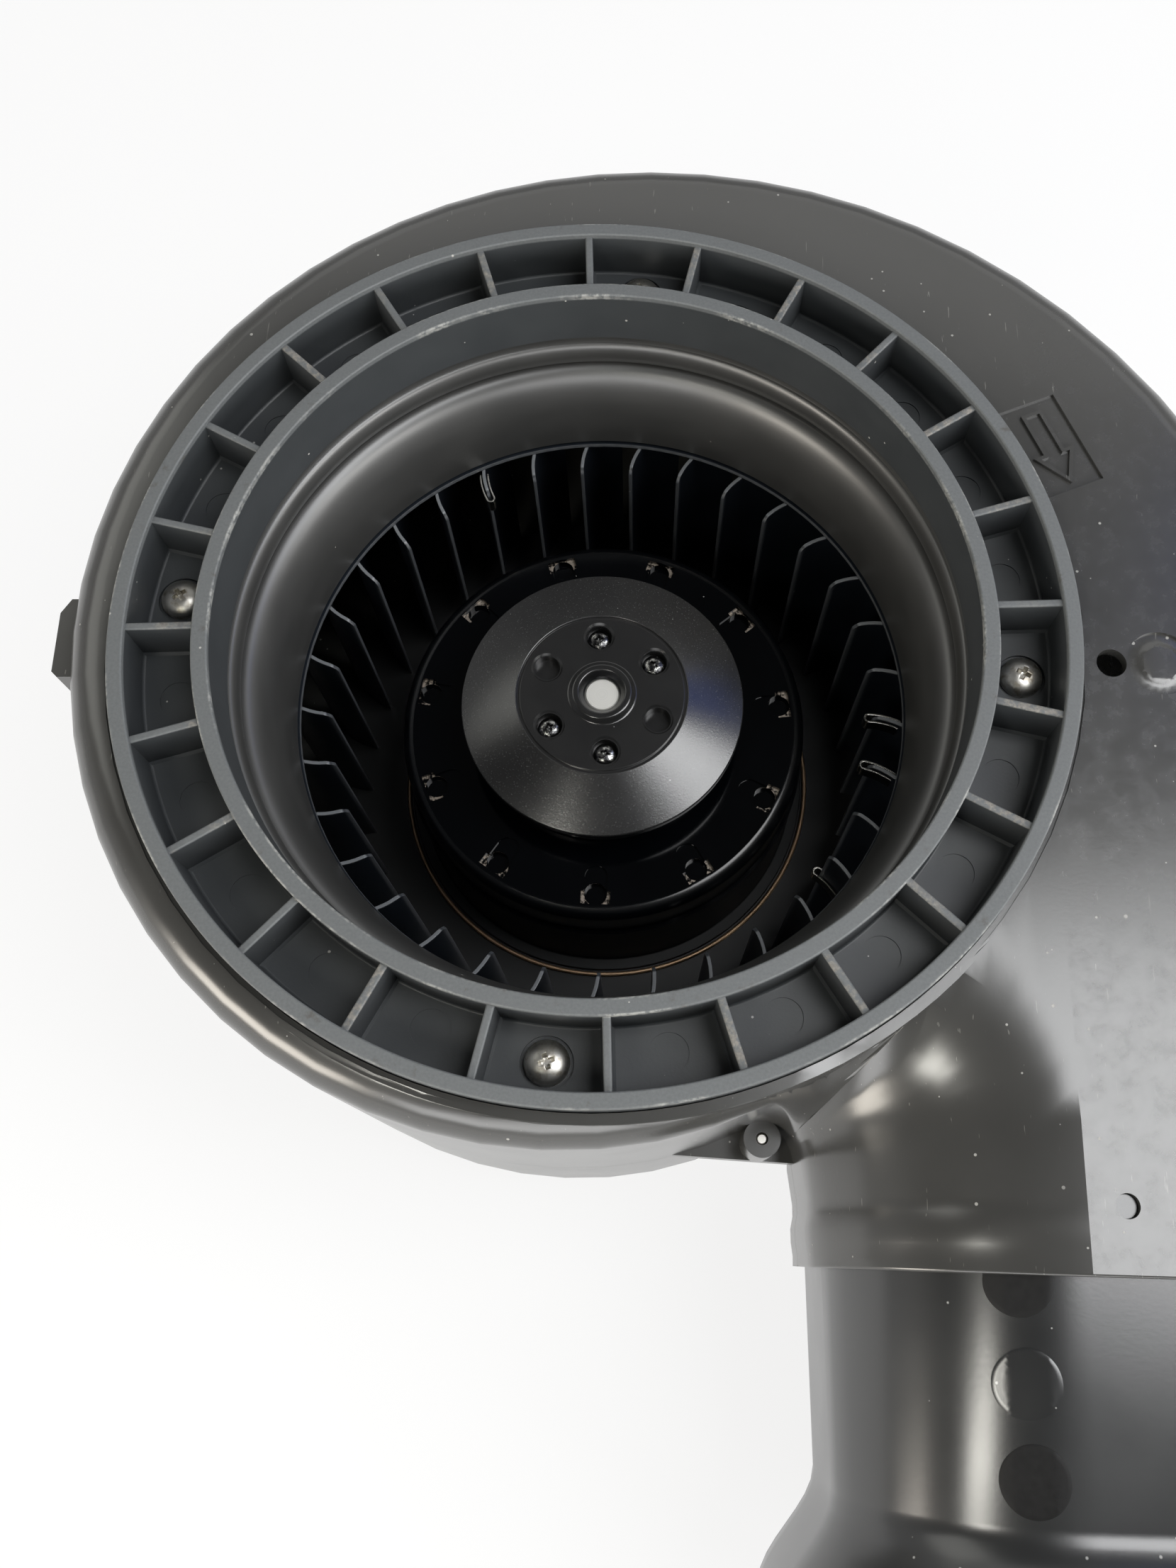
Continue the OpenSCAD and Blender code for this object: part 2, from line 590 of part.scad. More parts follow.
duct_in = shell_t + duct_gap;
duct_y = [duct_inside - outlet_y, -outlet_y - duct_straight, -outlet_y - duct_straight - flare_len,
    -outlet_y - duct_straight - flare_len - socket_len];
flare_steps = 8;
function flare_rings(inset) = [for (k = [0:flare_steps])
    [mix(duct_y[1], duct_y[2], k / flare_steps), inset + duct_draft - flare_out * smooth(k / flare_steps)]];
function back_to_front(v) = [for (k = [len(v) - 1:-1:0]) v[k]];
module outlet_duct() {
    outside = concat([[duct_y[0], duct_in], [-outlet_y, duct_in]], flare_rings(duct_in),
        [[duct_y[3], duct_in + duct_draft - flare_out]]);
    inside = [for (r = back_to_front(outside)) [r[0], r[1] + duct_t]];
    color([0.15, 0.15, 0.14]) {
        oval_tube(concat(outside, inside));
        translate(at_height(duct_hole, top_z - duct_in - duct_t / 2))
            cylinder(d = peg_d, h = duct_in + duct_t / 2 - mark_d - 0.7);
    }
}

module housing_screws() {
    color([0.75, 0.74, 0.7]) for (k = [0:len(posts) - 1])
        translate(at_height(posts[k], joint_z - ear_t - seat_gap)) rotate([180, 0, 0])
            screw(housing_head_d, housing_head_h, housing_screw_d,
                ear_t + (k == 0 ? post_h : ear_post_h) - 1);
}

// Motor flange with its rear boss, the shaft's well and the lead's hole
lead_hole = [0, -21];
lead_d = 8;
boss_in = 2;
boss_z = back_z + boss_in;
well_floor = 2;
well_gap = 5;
module motor_flange() {
    color([0.12, 0.12, 0.12]) difference() {
        union() {
            translate([0, 0, flange_z]) cylinder(r = flange_r, h = flange_t);
            translate([0, 0, boss_z]) cylinder(r = boss_r, h = flange_z - boss_z + over);
        }
        translate([0, 0, boss_z + well_floor])
            cylinder(d = shaft_d + 2 * well_gap, h = flange_z - boss_z + flange_t);
        translate(at_height(lead_hole, boss_z - over))
            cylinder(d = lead_d, h = flange_z - boss_z + flange_t + 2 * over);
        for (a = flange_screw_a) rotate(a) translate([flange_screw_pr, 0, flange_z - over])
            cylinder(d = flange_screw_d + 2 * hole_gap, h = flange_t + 2 * over);
    }
}

module flange_screws() {
    color([0.6, 0.6, 0.6]) for (a = flange_screw_a) rotate(a)
        translate([flange_screw_pr, 0, flange_z - dish_t]) rotate([180, 0, 0])
            screw(flange_head_d, flange_head_h, flange_screw_d, dish_t + flange_t - hole_gap);
}

// Rubber bush that lines the lead's hole
module lead_grommet() {
    color([0.08, 0.08, 0.08]) translate(at_height(lead_hole, boss_z)) difference() {
        union() {
            cylinder(d = lead_d - 2 * seat_gap, h = flange_z - boss_z + flange_t - over);
            translate([0, 0, -1.5]) cylinder(d = lead_d + 3, h = 1.5);
        }
        translate([0, 0, -2]) cylinder(d = lead_d - 3, h = flange_z - boss_z + flange_t + 2);
    }
}

// Bearing tube: two bearing seats with a waist between them
tube_gap = 2.5;
tube_top = -(bell_z + bell_t + tube_gap);
tube_base = flange_z + flange_t;
waist_r = bearing_d / 2 - 2;
module bearing_tube() {
    color([0.6, 0.6, 0.62]) rotate_extrude()
        polygon([[tube_r, tube_base], [tube_r, tube_top], [bearing_d / 2, tube_top],
            [bearing_d / 2, tube_top - bearing_w - 0.5], [waist_r, tube_top - bearing_w - 0.5],
            [waist_r, tube_base + bearing_w], [bearing_d / 2, tube_base + bearing_w],
            [bearing_d / 2, tube_base]]);
}

// Ball bearing drawn as one sealed ring
module bearing() {
    rotate_extrude()
        polygon([[shaft_d / 2, 0], [bearing_d / 2 - seat_gap, 0], [bearing_d / 2 - seat_gap, bearing_w],
            [bearing_d / 2 - 3, bearing_w], [bearing_d / 2 - 3, bearing_w - 0.4],
            [shaft_d / 2 + 2.5, bearing_w - 0.4], [shaft_d / 2 + 2.5, bearing_w], [shaft_d / 2, bearing_w]]);
}
module front_bearing() {
    color([0.7, 0.7, 0.72]) translate([0, 0, tube_top - bearing_w - 0.5]) bearing();
}
module rear_bearing() {
    color([0.7, 0.7, 0.72]) translate([0, 0, tube_base]) bearing();
}

// Stator: slotted core on the tube, windings through the slots with an end turn on each side
coil_h = 7;
stator_drop = 4;
stator_top = tube_top - coil_h - stator_drop;
stator_h = stator_top - coil_h - coil_room - tube_base;
slot_w = 7;
yoke_t = 7;
tooth_t = 4;
slot_in_r = tube_r + yoke_t;
slot_out_r = stator_r - tooth_t;
module slot_bars(gap) {
    for (k = [0:slots - 1]) rotate(360 / slots * k)
        translate([slot_in_r + gap, -slot_w / 2 + gap])
            square([slot_out_r - slot_in_r - 2 * gap, slot_w - 2 * gap]);
}
module stator_core() {
    color([0.5, 0.5, 0.52]) translate([0, 0, stator_top - stator_h]) linear_extrude(stator_h) difference() {
        circle(r = stator_r);
        circle(r = tube_r + seat_gap);
        slot_bars(0);
        for (k = [0:slots - 1]) rotate(360 / slots * k) translate([slot_out_r - 1, -1]) square([stator_r, 2]);
    }
}
module end_turn() {
    rotate_extrude() polygon([[slot_in_r + 0.5, 0], [slot_out_r - 0.5, 0], [slot_out_r - 0.5, coil_h - 2],
        [slot_out_r - 2.5, coil_h], [slot_in_r + 2.5, coil_h], [slot_in_r + 0.5, coil_h - 2]]);
}
module stator_windings() {
    color([0.72, 0.42, 0.2]) {
        translate([0, 0, stator_top]) end_turn();
        translate([0, 0, stator_top - stator_h]) mirror([0, 0, 1]) end_turn();
        translate([0, 0, stator_top - stator_h - over]) linear_extrude(stator_h + 2 * over)
            slot_bars(fit_gap);
    }
}

// Rotor bell: front plate with a rounded rim, stepped side, flange at the open end and the notches
rim_r = 3.5;
step_down = 20;
step_z = -bell_z - step_down;
notch_d = 1.5;
notch_hole_r = 3.6;
notch_hole_d = 3;
bell_bore_r = shaft_d / 2;
bell_in_r = bell_side_r - bell_t;
module rotor_bell() {
    color([0.03, 0.03, 0.04]) difference() {
        rotate_extrude()
            polygon(concat([[bell_bore_r, -bell_z - bell_t], [bell_in_r, -bell_z - bell_t],
                [bell_in_r, plate_z], [bell_flange_r, plate_z], [bell_flange_r, plate_z + plate_t],
                [bell_side_r + 1, plate_z + plate_t], [bell_side_r + 1, step_z], [bell_side_r, step_z + 1]],
                [for (a = [0:15:90]) [bell_side_r - rim_r * (1 - cos(a)), -bell_z - rim_r * (1 - sin(a))]],
                [[bell_bore_r, -bell_z]]));
        for (k = [0:notches - 1]) rotate(103 - 360 / notches * k)
            translate([notch_pr, 0, -bell_z]) {
                translate([0, -notch_w / 2, -notch_d]) cube([notch_w / 2, notch_w, notch_d + over]);
                translate([0, 0, -notch_hole_d]) cylinder(r = notch_hole_r, h = notch_hole_d + over);
            }
        for (a = hub_screw_a) rotate(a) translate([hub_screw_pr, 0, -bell_z - bell_t - over])
            cylinder(d = hub_screw_d + 2 * hole_gap, h = bell_t + 2 * over);
    }
}

// Slotted ring of laminations inside the bell
module rotor_core() {
    color([0.45, 0.45, 0.47]) translate([0, 0, stator_top - stator_h - 2]) linear_extrude(stator_h + 4)
        difference() {
            circle(r = bell_in_r - seat_gap);
            circle(r = stator_r + air_gap);
            for (k = [0:2 * notches - 1]) rotate(180 / notches * k)
                translate([stator_r + air_gap + 5, 0]) circle(r = 2.2);
        }
}

// Hub cone with six counterbores, four of them holding screws
hub_bores_a = [for (k = [0:5]) 95 - 60 * k];
hub_screw_a = [for (k = [0, 1, 3, 4]) hub_bores_a[k]];
hub_bore_depth = 3.5;
hub_head_gap = 0.7;
hub_head_h = 2.2;
hub_boss_r = shaft_d / 2 + 4;
module hub_cone() {
    color([0.07, 0.07, 0.07]) difference() {
        rotate_extrude()
            polygon([[shaft_d / 2, -bell_z], [cone_r, -bell_z], [cone_r, -cone_z - 0.8],
                [cone_r - 0.6, -cone_z], [disc_r + 0.7, -disc_z], [disc_r + 0.5, -disc_z - 0.5],
                [disc_r, -disc_z - 0.5], [disc_r - 0.2, -disc_z], [hub_boss_r, -disc_z],
                [hub_boss_r - 0.4, 0.9 - disc_z], [hub_boss_r - 2, 0.9 - disc_z],
                [shaft_d / 2 + 1.2, -disc_z - 0.4], [shaft_d / 2, -disc_z - 0.8]]);
        for (a = hub_bores_a) rotate(a) translate([hub_screw_pr, 0, -disc_z - hub_bore_depth])
            cylinder(d = hub_bore_d, h = hub_bore_depth + over);
        for (a = hub_screw_a) rotate(a) translate([hub_screw_pr, 0, -bell_z - over])
            cylinder(d = hub_screw_d + 2 * hole_gap, h = bell_z - disc_z);
    }
}

module hub_screws() {
    color([0.1, 0.1, 0.1]) for (a = hub_screw_a) rotate(a)
        translate([hub_screw_pr, 0, -disc_z - hub_bore_depth])
            screw(hub_bore_d - 2 * hub_head_gap, hub_head_h, hub_screw_d,
                bell_z + bell_t - disc_z - hub_bore_depth - hole_gap);
}

// Shaft with the groove for its retaining ring
shaft_top = -disc_z - 0.9;
clip_z = tube_base - 1.6;
clip_t = 1;
groove_r = shaft_d / 2 - 0.6;
shaft_r = shaft_d / 2 - bearing_gap;
module shaft() {
    shaft_end = clip_z - 2;
    color([0.85, 0.85, 0.84]) rotate_extrude()
        polygon([[0, shaft_end], [shaft_r - 0.5, shaft_end], [shaft_r, shaft_end + 0.5],
            [shaft_r, clip_z - seat_gap], [groove_r, clip_z - seat_gap],
            [groove_r, clip_z + clip_t + seat_gap], [shaft_r, clip_z + clip_t + seat_gap],
            [shaft_r, shaft_top - 0.5], [shaft_r - 0.5, shaft_top], [0, shaft_top]]);
}
module retaining_ring() {
    color([0.3, 0.3, 0.3]) translate([0, 0, clip_z]) linear_extrude(clip_t) difference() {
        circle(r = shaft_d / 2 + 2.6);
        circle(r = groove_r + seat_gap);
        translate([0, -1.8]) square([shaft_d, 3.6]);
    }
}

// Impeller: forward-curved blades between a back plate and a front ring
module impeller_back_plate() {
    color([0.05, 0.06, 0.07]) translate([0, 0, plate_z - plate_t]) linear_extrude(plate_t) difference() {
        circle(r = impeller_r);
        circle(r = bell_in_r);
    }
}
module impeller_front_ring() {
    color([0.05, 0.06, 0.07]) translate([0, 0, front_z - plate_t]) linear_extrude(plate_t) difference() {
        circle(r = impeller_r);
        circle(r = front_ring_r);
    }
}
// Plan of one blade: it leaves the inner circle straight outwards and curves forwards
module blade_plan() {
    intersection() {
        difference() {
            circle(r = impeller_r);
            circle(r = blade_in_r);
        }
        translate([blade_in_r - 1, -blade_curve_r]) difference() {
            circle(r = blade_curve_r + blade_t / 2);
            circle(r = blade_curve_r - blade_t / 2);
        }
        translate([blade_in_r - 2, -blade_curve_r]) square([blade_curve_r + 8, blade_curve_r + blade_t]);
    }
}
module blade_corner() {
    translate([0, 0, front_z - plate_t]) rotate_extrude()
        polygon(concat([[blade_in_r - over, over], [blade_in_r - over, -1.5 * blade_corner_r]],
            [for (a = [155:-20:115])
                [blade_in_r + blade_corner_r, -blade_corner_r] + polar(blade_corner_r, a)],
            [[blade_in_r + 1.5 * blade_corner_r, over]]));
}
module impeller_blades() {
    color([0.05, 0.06, 0.07]) difference() {
        translate([0, 0, plate_z]) linear_extrude(front_z - plate_t - plate_z)
            for (k = [0:blades - 1]) rotate(blade_a - 360 / blades * k) blade_plan();
        blade_corner();
    }
}

// Spring clips pushed on to the inner edges of a few blades to balance the wheel
clips = [[9, 1], [10, 1], [12, 19], [31, 1]];  // blade and depth below the front ring
clip_wall = 0.5;
clip_w = 5;
clip_len = 9;
clip_gap = 0.4;
module clip_loop(r) {
    difference() {
        circle(r = r + clip_wall);
        circle(r = r);
    }
}
// Plan of one clip: two legs along the blade's curve, joined by a bend round its inner edge
module clip_plan() {
    half = blade_t / 2 + clip_gap;
    span = clip_len / blade_curve_r * 180 / PI;
    translate([blade_in_r - 1, -blade_curve_r]) {
        intersection() {
            union() {
                clip_loop(blade_curve_r + half);
                clip_loop(blade_curve_r - half - clip_wall);
            }
            polygon([[0, 0], [0, 2 * blade_curve_r], 2 * blade_curve_r * [sin(span), cos(span)]]);
        }
        translate([0, blade_curve_r]) difference() {
            clip_loop(half);
            translate([0, -2 * half]) square(4 * half);
        }
    }
}
module balance_clips() {
    color([0.8, 0.8, 0.78]) for (c = clips) rotate(blade_a - 360 / blades * c[0])
        translate([0, 0, front_z - plate_t - clip_w - c[1]]) linear_extrude(clip_w) clip_plan();
}

upper_scroll();
lower_scroll();
inlet_ring();
inlet_nozzle();
ring_screws();
outlet_duct();
housing_screws();
motor_flange();
flange_screws();
lead_grommet();
bearing_tube();
front_bearing();
rear_bearing();
stator_core();
stator_windings();
rotor_bell();
rotor_core();
hub_cone();
hub_screws();
shaft();
retaining_ring();
impeller_back_plate();
impeller_blades();
impeller_front_ring();
balance_clips();
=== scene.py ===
import json
import math
import bpy
from mathutils import Matrix, Vector


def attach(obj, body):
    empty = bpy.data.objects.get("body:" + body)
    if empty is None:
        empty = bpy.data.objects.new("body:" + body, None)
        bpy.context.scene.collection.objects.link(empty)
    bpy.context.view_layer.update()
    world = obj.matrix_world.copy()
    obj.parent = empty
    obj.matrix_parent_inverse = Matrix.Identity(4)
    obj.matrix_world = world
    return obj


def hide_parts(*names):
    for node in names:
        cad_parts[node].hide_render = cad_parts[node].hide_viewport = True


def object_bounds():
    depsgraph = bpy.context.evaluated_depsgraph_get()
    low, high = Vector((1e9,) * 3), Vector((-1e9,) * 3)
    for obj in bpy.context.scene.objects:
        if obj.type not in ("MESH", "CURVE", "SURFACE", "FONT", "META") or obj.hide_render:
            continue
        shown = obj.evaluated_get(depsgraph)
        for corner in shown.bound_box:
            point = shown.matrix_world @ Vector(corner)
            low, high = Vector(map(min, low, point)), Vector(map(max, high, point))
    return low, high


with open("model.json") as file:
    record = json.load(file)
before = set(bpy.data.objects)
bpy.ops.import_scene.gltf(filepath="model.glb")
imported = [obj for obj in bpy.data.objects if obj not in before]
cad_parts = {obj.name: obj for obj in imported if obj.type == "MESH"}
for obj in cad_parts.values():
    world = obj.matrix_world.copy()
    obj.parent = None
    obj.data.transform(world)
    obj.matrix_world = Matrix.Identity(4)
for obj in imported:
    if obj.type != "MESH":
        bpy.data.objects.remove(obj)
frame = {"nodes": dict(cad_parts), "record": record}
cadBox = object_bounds()
cad = frame["nodes"]
bodyOf = {n: body for body, members in frame["record"]["behaviour"]["bodies"].items() for n in members}
mm = 0.001
print("frame loaded:", len(cad), "nodes")

# camera, fitted to the ring's circles and the outline
view = {"offset": (-13.0147, 42.6215, -326.9087), "tilt": -0.3426, "roll": -0.0302,
        "lens": 30.31, "sensor": 36.0, "shiftX": -0.0394, "clip": 0.01}


def setCamera():
    turn = Matrix.Rotation(view["roll"], 3, "Z") @ Matrix.Rotation(view["tilt"], 3, "X")
    place = -(turn.transposed() @ (Vector(view["offset"]) * mm))
    data = bpy.data.cameras.new("photoCamera")
    data.sensor_width = view["sensor"]
    data.lens = view["lens"]
    data.shift_x = view["shiftX"]
    data.clip_start = view["clip"]
    camera = bpy.data.objects.new("photoCamera", data)
    bpy.context.scene.collection.objects.link(camera)
    camera.matrix_world = Matrix.Translation(place) @ turn.transposed().to_4x4()
    bpy.context.scene.camera = camera


# shader maths: a Flow is one socket's value, and its operators add Math nodes
class Flow:
    def __init__(self, finish, socket):
        self.finish = finish
        self.socket = socket

    def __add__(self, other):
        return self.finish.maths("ADD", self, other)

    def __radd__(self, other):
        return self.finish.maths("ADD", other, self)

    def __sub__(self, other):
        return self.finish.maths("SUBTRACT", self, other)

    def __mul__(self, other):
        return self.finish.maths("MULTIPLY", self, other)

    def __pow__(self, other):
        return self.finish.maths("POWER", self, other)


# a Finish is one material; sizes of its patterns are in millimetres
class Finish:
    def __init__(self, name, **fixed):
        self.material = bpy.data.materials.new(name)
        self.material.use_nodes = True
        self.tree = self.material.node_tree
        self.shader = self.tree.nodes["Principled BSDF"]
        for key, value in fixed.items():
            self.shader.inputs[key.replace("_", " ")].default_value = value
        self.place = self.node("ShaderNodeTexCoord", {}, {}, "Object")

    def node(self, kind, settings, sockets, out=0):
        made = self.tree.nodes.new(kind)
        for key, value in settings.items():
            setattr(made, key, value)
        for key, value in sockets.items():
            if isinstance(value, Flow):
                self.tree.links.new(value.socket, made.inputs[key])
            elif isinstance(value, tuple) and len(value) == 3 and made.inputs[key].type == "RGBA":
                made.inputs[key].default_value = (*value, 1.0)
            else:
                made.inputs[key].default_value = value
        return Flow(self, made.outputs[out])

    def maths(self, operation, *values):
        return self.node("ShaderNodeMath", {"operation": operation}, dict(enumerate(values)))

    def blend(self, mask, first, second):
        return self.node("ShaderNodeMix", {"data_type": "RGBA"}, {0: mask, 6: first, 7: second}, 2)

    def step(self, value, low, high):
        return self.node("ShaderNodeMapRange", {"interpolation_type": "SMOOTHSTEP"},
                         {"Value": value, "From Min": low, "From Max": high})

    def within(self, value, *spans):
        masks = [self.step(value, low * mm, high * mm) for low, high in spans]
        whole = masks[0]
        for mask in masks[1:]:
            whole = whole * mask
        return whole

    def stretch(self, scale, turn=(0, 0, 0)):
        return self.node("ShaderNodeMapping", {}, {"Vector": self.place, "Scale": scale, "Rotation": turn})

    def noise(self, size, detail=3.0, rough=0.55, where=None):
        return self.node("ShaderNodeTexNoise", {}, {"Vector": where or self.place, "Scale": 1 / (size * mm),
                                                    "Detail": detail, "Roughness": rough}, "Fac")

    def lines(self, value, scale, detail):
        return self.node("ShaderNodeTexNoise", {"noise_dimensions": "1D"},
                         {"W": value, "Scale": scale, "Detail": detail}, "Fac")

    def specks(self, spacing, size, share, least=0.25, soft=0.3, sure=0.01):
        cell = {"Vector": self.place, "Scale": 1 / (spacing * mm)}
        near = self.node("ShaderNodeTexVoronoi", {}, cell, "Distance")
        tint = self.node("ShaderNodeTexVoronoi", {}, cell, "Color")
        chance = self.node("ShaderNodeSeparateColor", {}, {"Color": tint}, "Red")
        big = self.node("ShaderNodeSeparateColor", {}, {"Color": tint}, "Green")
        reach = big * (size / spacing) + least * size / spacing
        return self.step(reach - near, 0.0, soft * size / spacing) * self.step(chance, 1 - share, 1 - share + sure)

    def speckled(self, tone, spacing, size, share, weight, colour):
        return self.blend(self.specks(spacing, size, share) * weight, tone, colour)

    def scratches(self, size, length, share, turn, soft=0.03):
        lines = self.noise(size, 2.0, 0.6, self.stretch((1.0, size / length, 1.0), turn))
        return self.step(lines, 1 - share, 1 - share + soft)

    def along(self, axis):
        return self.node("ShaderNodeSeparateXYZ", {}, {"Vector": self.place}, axis)

    def radius(self):
        x, y = self.along("X"), self.along("Y")
        return (x * x + y * y) ** 0.5

    def bump(self, height, depth, strength):
        made = self.node("ShaderNodeBump", {}, {"Height": height, "Distance": depth * mm, "Strength": strength})
        self.feed("Normal", made)

    def feed(self, socket, flow):
        self.tree.links.new(flow.socket, self.shader.inputs[socket])

    def mottle(self, stain, tones, rough, relief=None):
        self.feed("Base Color", self.blend(stain, *tones))
        self.feed("Roughness", rough[0] + stain * rough[1])
        if relief:
            self.bump(stain, *relief)


# floor and light; each softbox has a direction, distance, width, height, power and colour
studio = {"floorSize": 12.0, "floorGap": 0.0005, "floorColour": (0.86, 0.86, 0.86), "white": 0.8,
          "aim": (0, 0, -0.05), "airLow": 0.42, "airHigh": 0.03, "airFrom": 0.1, "airTo": 0.7,
          "boxes": {"rightBox": ((0.57, -0.06, 0.81), 1.3, 0.58, 1.15, 14.0, (0.98, 0.99, 1.0)),
                    "lowRightBox": ((0.86, -0.42, 0.28), 1.4, 1.1, 0.5, 13.0, (1.0, 0.99, 0.97)),
                    "leftBox": ((-0.74, -0.62, 0.27), 1.4, 0.75, 0.45, 9.5, (1.0, 0.93, 0.82)),
                    "highLeftBox": ((-0.31, -0.57, 0.76), 0.526, 0.08, 0.12, 0.46, (1.0, 0.98, 0.9)),
                    "frontBox": ((0.0, -0.94, 0.33), 1.5, 1.5, 0.5, 9.0, (1.0, 1.0, 1.0)),
                    "backBox": ((0.1, 0.78, 0.61), 1.5, 1.8, 0.66, 3.0, (1.0, 1.0, 0.98)),
                    "backLeftBox": ((-0.66, 0.41, 0.63), 1.4, 0.8, 0.6, 2.0, (1.0, 1.0, 0.94)),
                    "blueBox": ((0.62, 0.4, 0.67), 1.3, 0.4, 0.4, 0.45, (0.12, 0.25, 1.0))}}


def softbox(name, towards, distance, width, height, power, colour):
    data = bpy.data.lights.new(name, "AREA")
    data.shape = "RECTANGLE"
    data.size = width
    data.size_y = height
    data.energy = power
    data.color = colour
    lamp = bpy.data.objects.new(name, data)
    bpy.context.scene.collection.objects.link(lamp)
    lamp.location = Vector(towards).normalized() * distance + Vector(studio["aim"])
    lamp.rotation_euler = (-Vector(towards)).to_track_quat("-Z", "Y").to_euler()


def setStage():
    clearSelection()
    bpy.ops.mesh.primitive_plane_add(size=studio["floorSize"], location=(0, 0, cadBox[0][2] - studio["floorGap"]))
    floor = bpy.context.object
    floor.name = "floor"
    paint = Finish("floorPaint", Roughness=0.9)
    paint.shader.inputs["Base Color"].default_value = (*studio["floorColour"], 1)
    rays = [paint.node("ShaderNodeLightPath", {}, {}, k)
            for k in ("Is Camera Ray", "Is Glossy Ray", "Is Transmission Ray")]
    seen = paint.maths("MINIMUM", rays[0] + rays[1] + rays[2], 1.0)
    glow = paint.node("ShaderNodeEmission", {}, {"Color": (1.0, 1.0, 1.0), "Strength": 1.0})
    both = paint.node("ShaderNodeMixShader", {}, {0: seen * studio["white"], 2: glow})
    paint.tree.links.new(paint.shader.outputs[0], both.socket.node.inputs[1])
    paint.tree.links.new(both.socket, paint.tree.nodes["Material Output"].inputs[0])
    floor.data.materials.append(paint.material)
    world = bpy.data.worlds.new("studioAir")
    bpy.context.scene.world = world
    world.use_nodes = True
    nodes, links = world.node_tree.nodes, world.node_tree.links
    air = nodes["Background"]
    air.inputs[0].default_value = (1, 1, 1, 1)
    # the air is bright near the floor and dim overhead, and white to the camera
    where = nodes.new("ShaderNodeTexCoord")
    split = nodes.new("ShaderNodeSeparateXYZ")
    level = nodes.new("ShaderNodeMapRange")
    level.interpolation_type = "SMOOTHSTEP"
    for key, setting in (("From Min", "airFrom"), ("From Max", "airTo"),
                         ("To Min", "airLow"), ("To Max", "airHigh")):
        level.inputs[key].default_value = studio[setting]
    path = nodes.new("ShaderNodeLightPath")
    brightest = nodes.new("ShaderNodeMath")
    brightest.operation = "MAXIMUM"
    links.new(where.outputs["Generated"], split.inputs[0])
    links.new(split.outputs["Z"], level.inputs["Value"])
    links.new(path.outputs["Is Camera Ray"], brightest.inputs[0])
    links.new(level.outputs[0], brightest.inputs[1])
    links.new(brightest.outputs[0], air.inputs["Strength"])
    for name, settings in studio["boxes"].items():
        softbox(name, *settings)
    bpy.context.scene.view_settings.view_transform = "Standard"


# small helpers for modelling; the two tolerances are in metres and angles in degrees
weld = 2e-6
tiny = 1e-5
copied = {"flat": 0.3, "edgeAngle": 50}
toolSides = 48


def clearSelection():
    if bpy.context.object and bpy.context.object.mode != "OBJECT":
        bpy.ops.object.mode_set(mode="OBJECT")
    bpy.ops.object.select_all(action="DESELECT")


def pickOnly(obj):
    clearSelection()
    obj.select_set(True)
    bpy.context.view_layer.objects.active = obj


def inEdit(obj, *steps):
    pickOnly(obj)
    bpy.ops.object.mode_set(mode="EDIT")
    for do in steps:
        do()
    bpy.ops.object.mode_set(mode="OBJECT")


def selectAll():
    bpy.ops.mesh.select_all(action="SELECT")


def mergeDoubles():
    selectAll()
    bpy.ops.mesh.remove_doubles(threshold=weld)


def faceOutwards():
    selectAll()
    bpy.ops.mesh.normals_make_consistent(inside=False)


def selectWhere(obj, kind, test):
    for items in (obj.data.vertices, obj.data.edges, obj.data.polygons):
        items.foreach_set("select", [False] * len(items))
    bpy.context.tool_settings.mesh_select_mode = (kind == "vertices", kind == "edges", kind == "polygons")
    chosen = [test(item) for item in getattr(obj.data, kind)]
    getattr(obj.data, kind).foreach_set("select", chosen)


def applyModifier(obj, kind, **settings):
    pickOnly(obj)
    mod = obj.modifiers.new(kind.lower(), kind)
    for key, value in settings.items():
        setattr(mod, key, value)
    bpy.ops.object.modifier_apply(modifier=mod.name)


def softEdges(obj, width, angle, segments=2):
    applyModifier(obj, "BEVEL", width=width * mm, segments=segments, limit_method="ANGLE",
                  angle_limit=math.radians(angle), use_clamp_overlap=True)


def smoothed(obj, angle):
    pickOnly(obj)
    bpy.ops.object.shade_smooth_by_angle(angle=math.radians(angle))
    applyModifier(obj, "WEIGHTED_NORMAL", mode="FACE_AREA", weight=50, keep_sharp=True)


def cut(obj, tool, way="DIFFERENCE"):
    applyModifier(obj, "BOOLEAN", operation=way, object=tool, solver="EXACT")
    bpy.data.objects.remove(tool)


def lathe(name, profile, steps, closed=True):
    clearSelection()
    bpy.ops.mesh.primitive_plane_add(size=mm, location=(0, 0, 0))
    obj = bpy.context.object
    obj.name = name
    bpy.context.tool_settings.mesh_select_mode = (True, False, False)
    bpy.ops.object.mode_set(mode="EDIT")
    selectAll()
    bpy.ops.mesh.merge(type="CENTER")
    here = Vector((profile[0][0], 0, profile[0][1])) * mm
    bpy.ops.transform.translate(value=here)
    for r, z in profile[1:]:
        there = Vector((r, 0, z)) * mm
        bpy.ops.mesh.extrude_vertices_move(TRANSFORM_OT_translate={"value": there - here})
        here = there
    selectAll()
    if closed:
        bpy.ops.mesh.edge_face_add()
        bpy.ops.mesh.delete(type="ONLY_FACE")
        selectAll()
    bpy.ops.mesh.spin(steps=steps, angle=2 * math.pi, center=(0, 0, 0), axis=(0, 0, 1))
    mergeDoubles()
    faceOutwards()
    bpy.ops.object.mode_set(mode="OBJECT")
    return obj


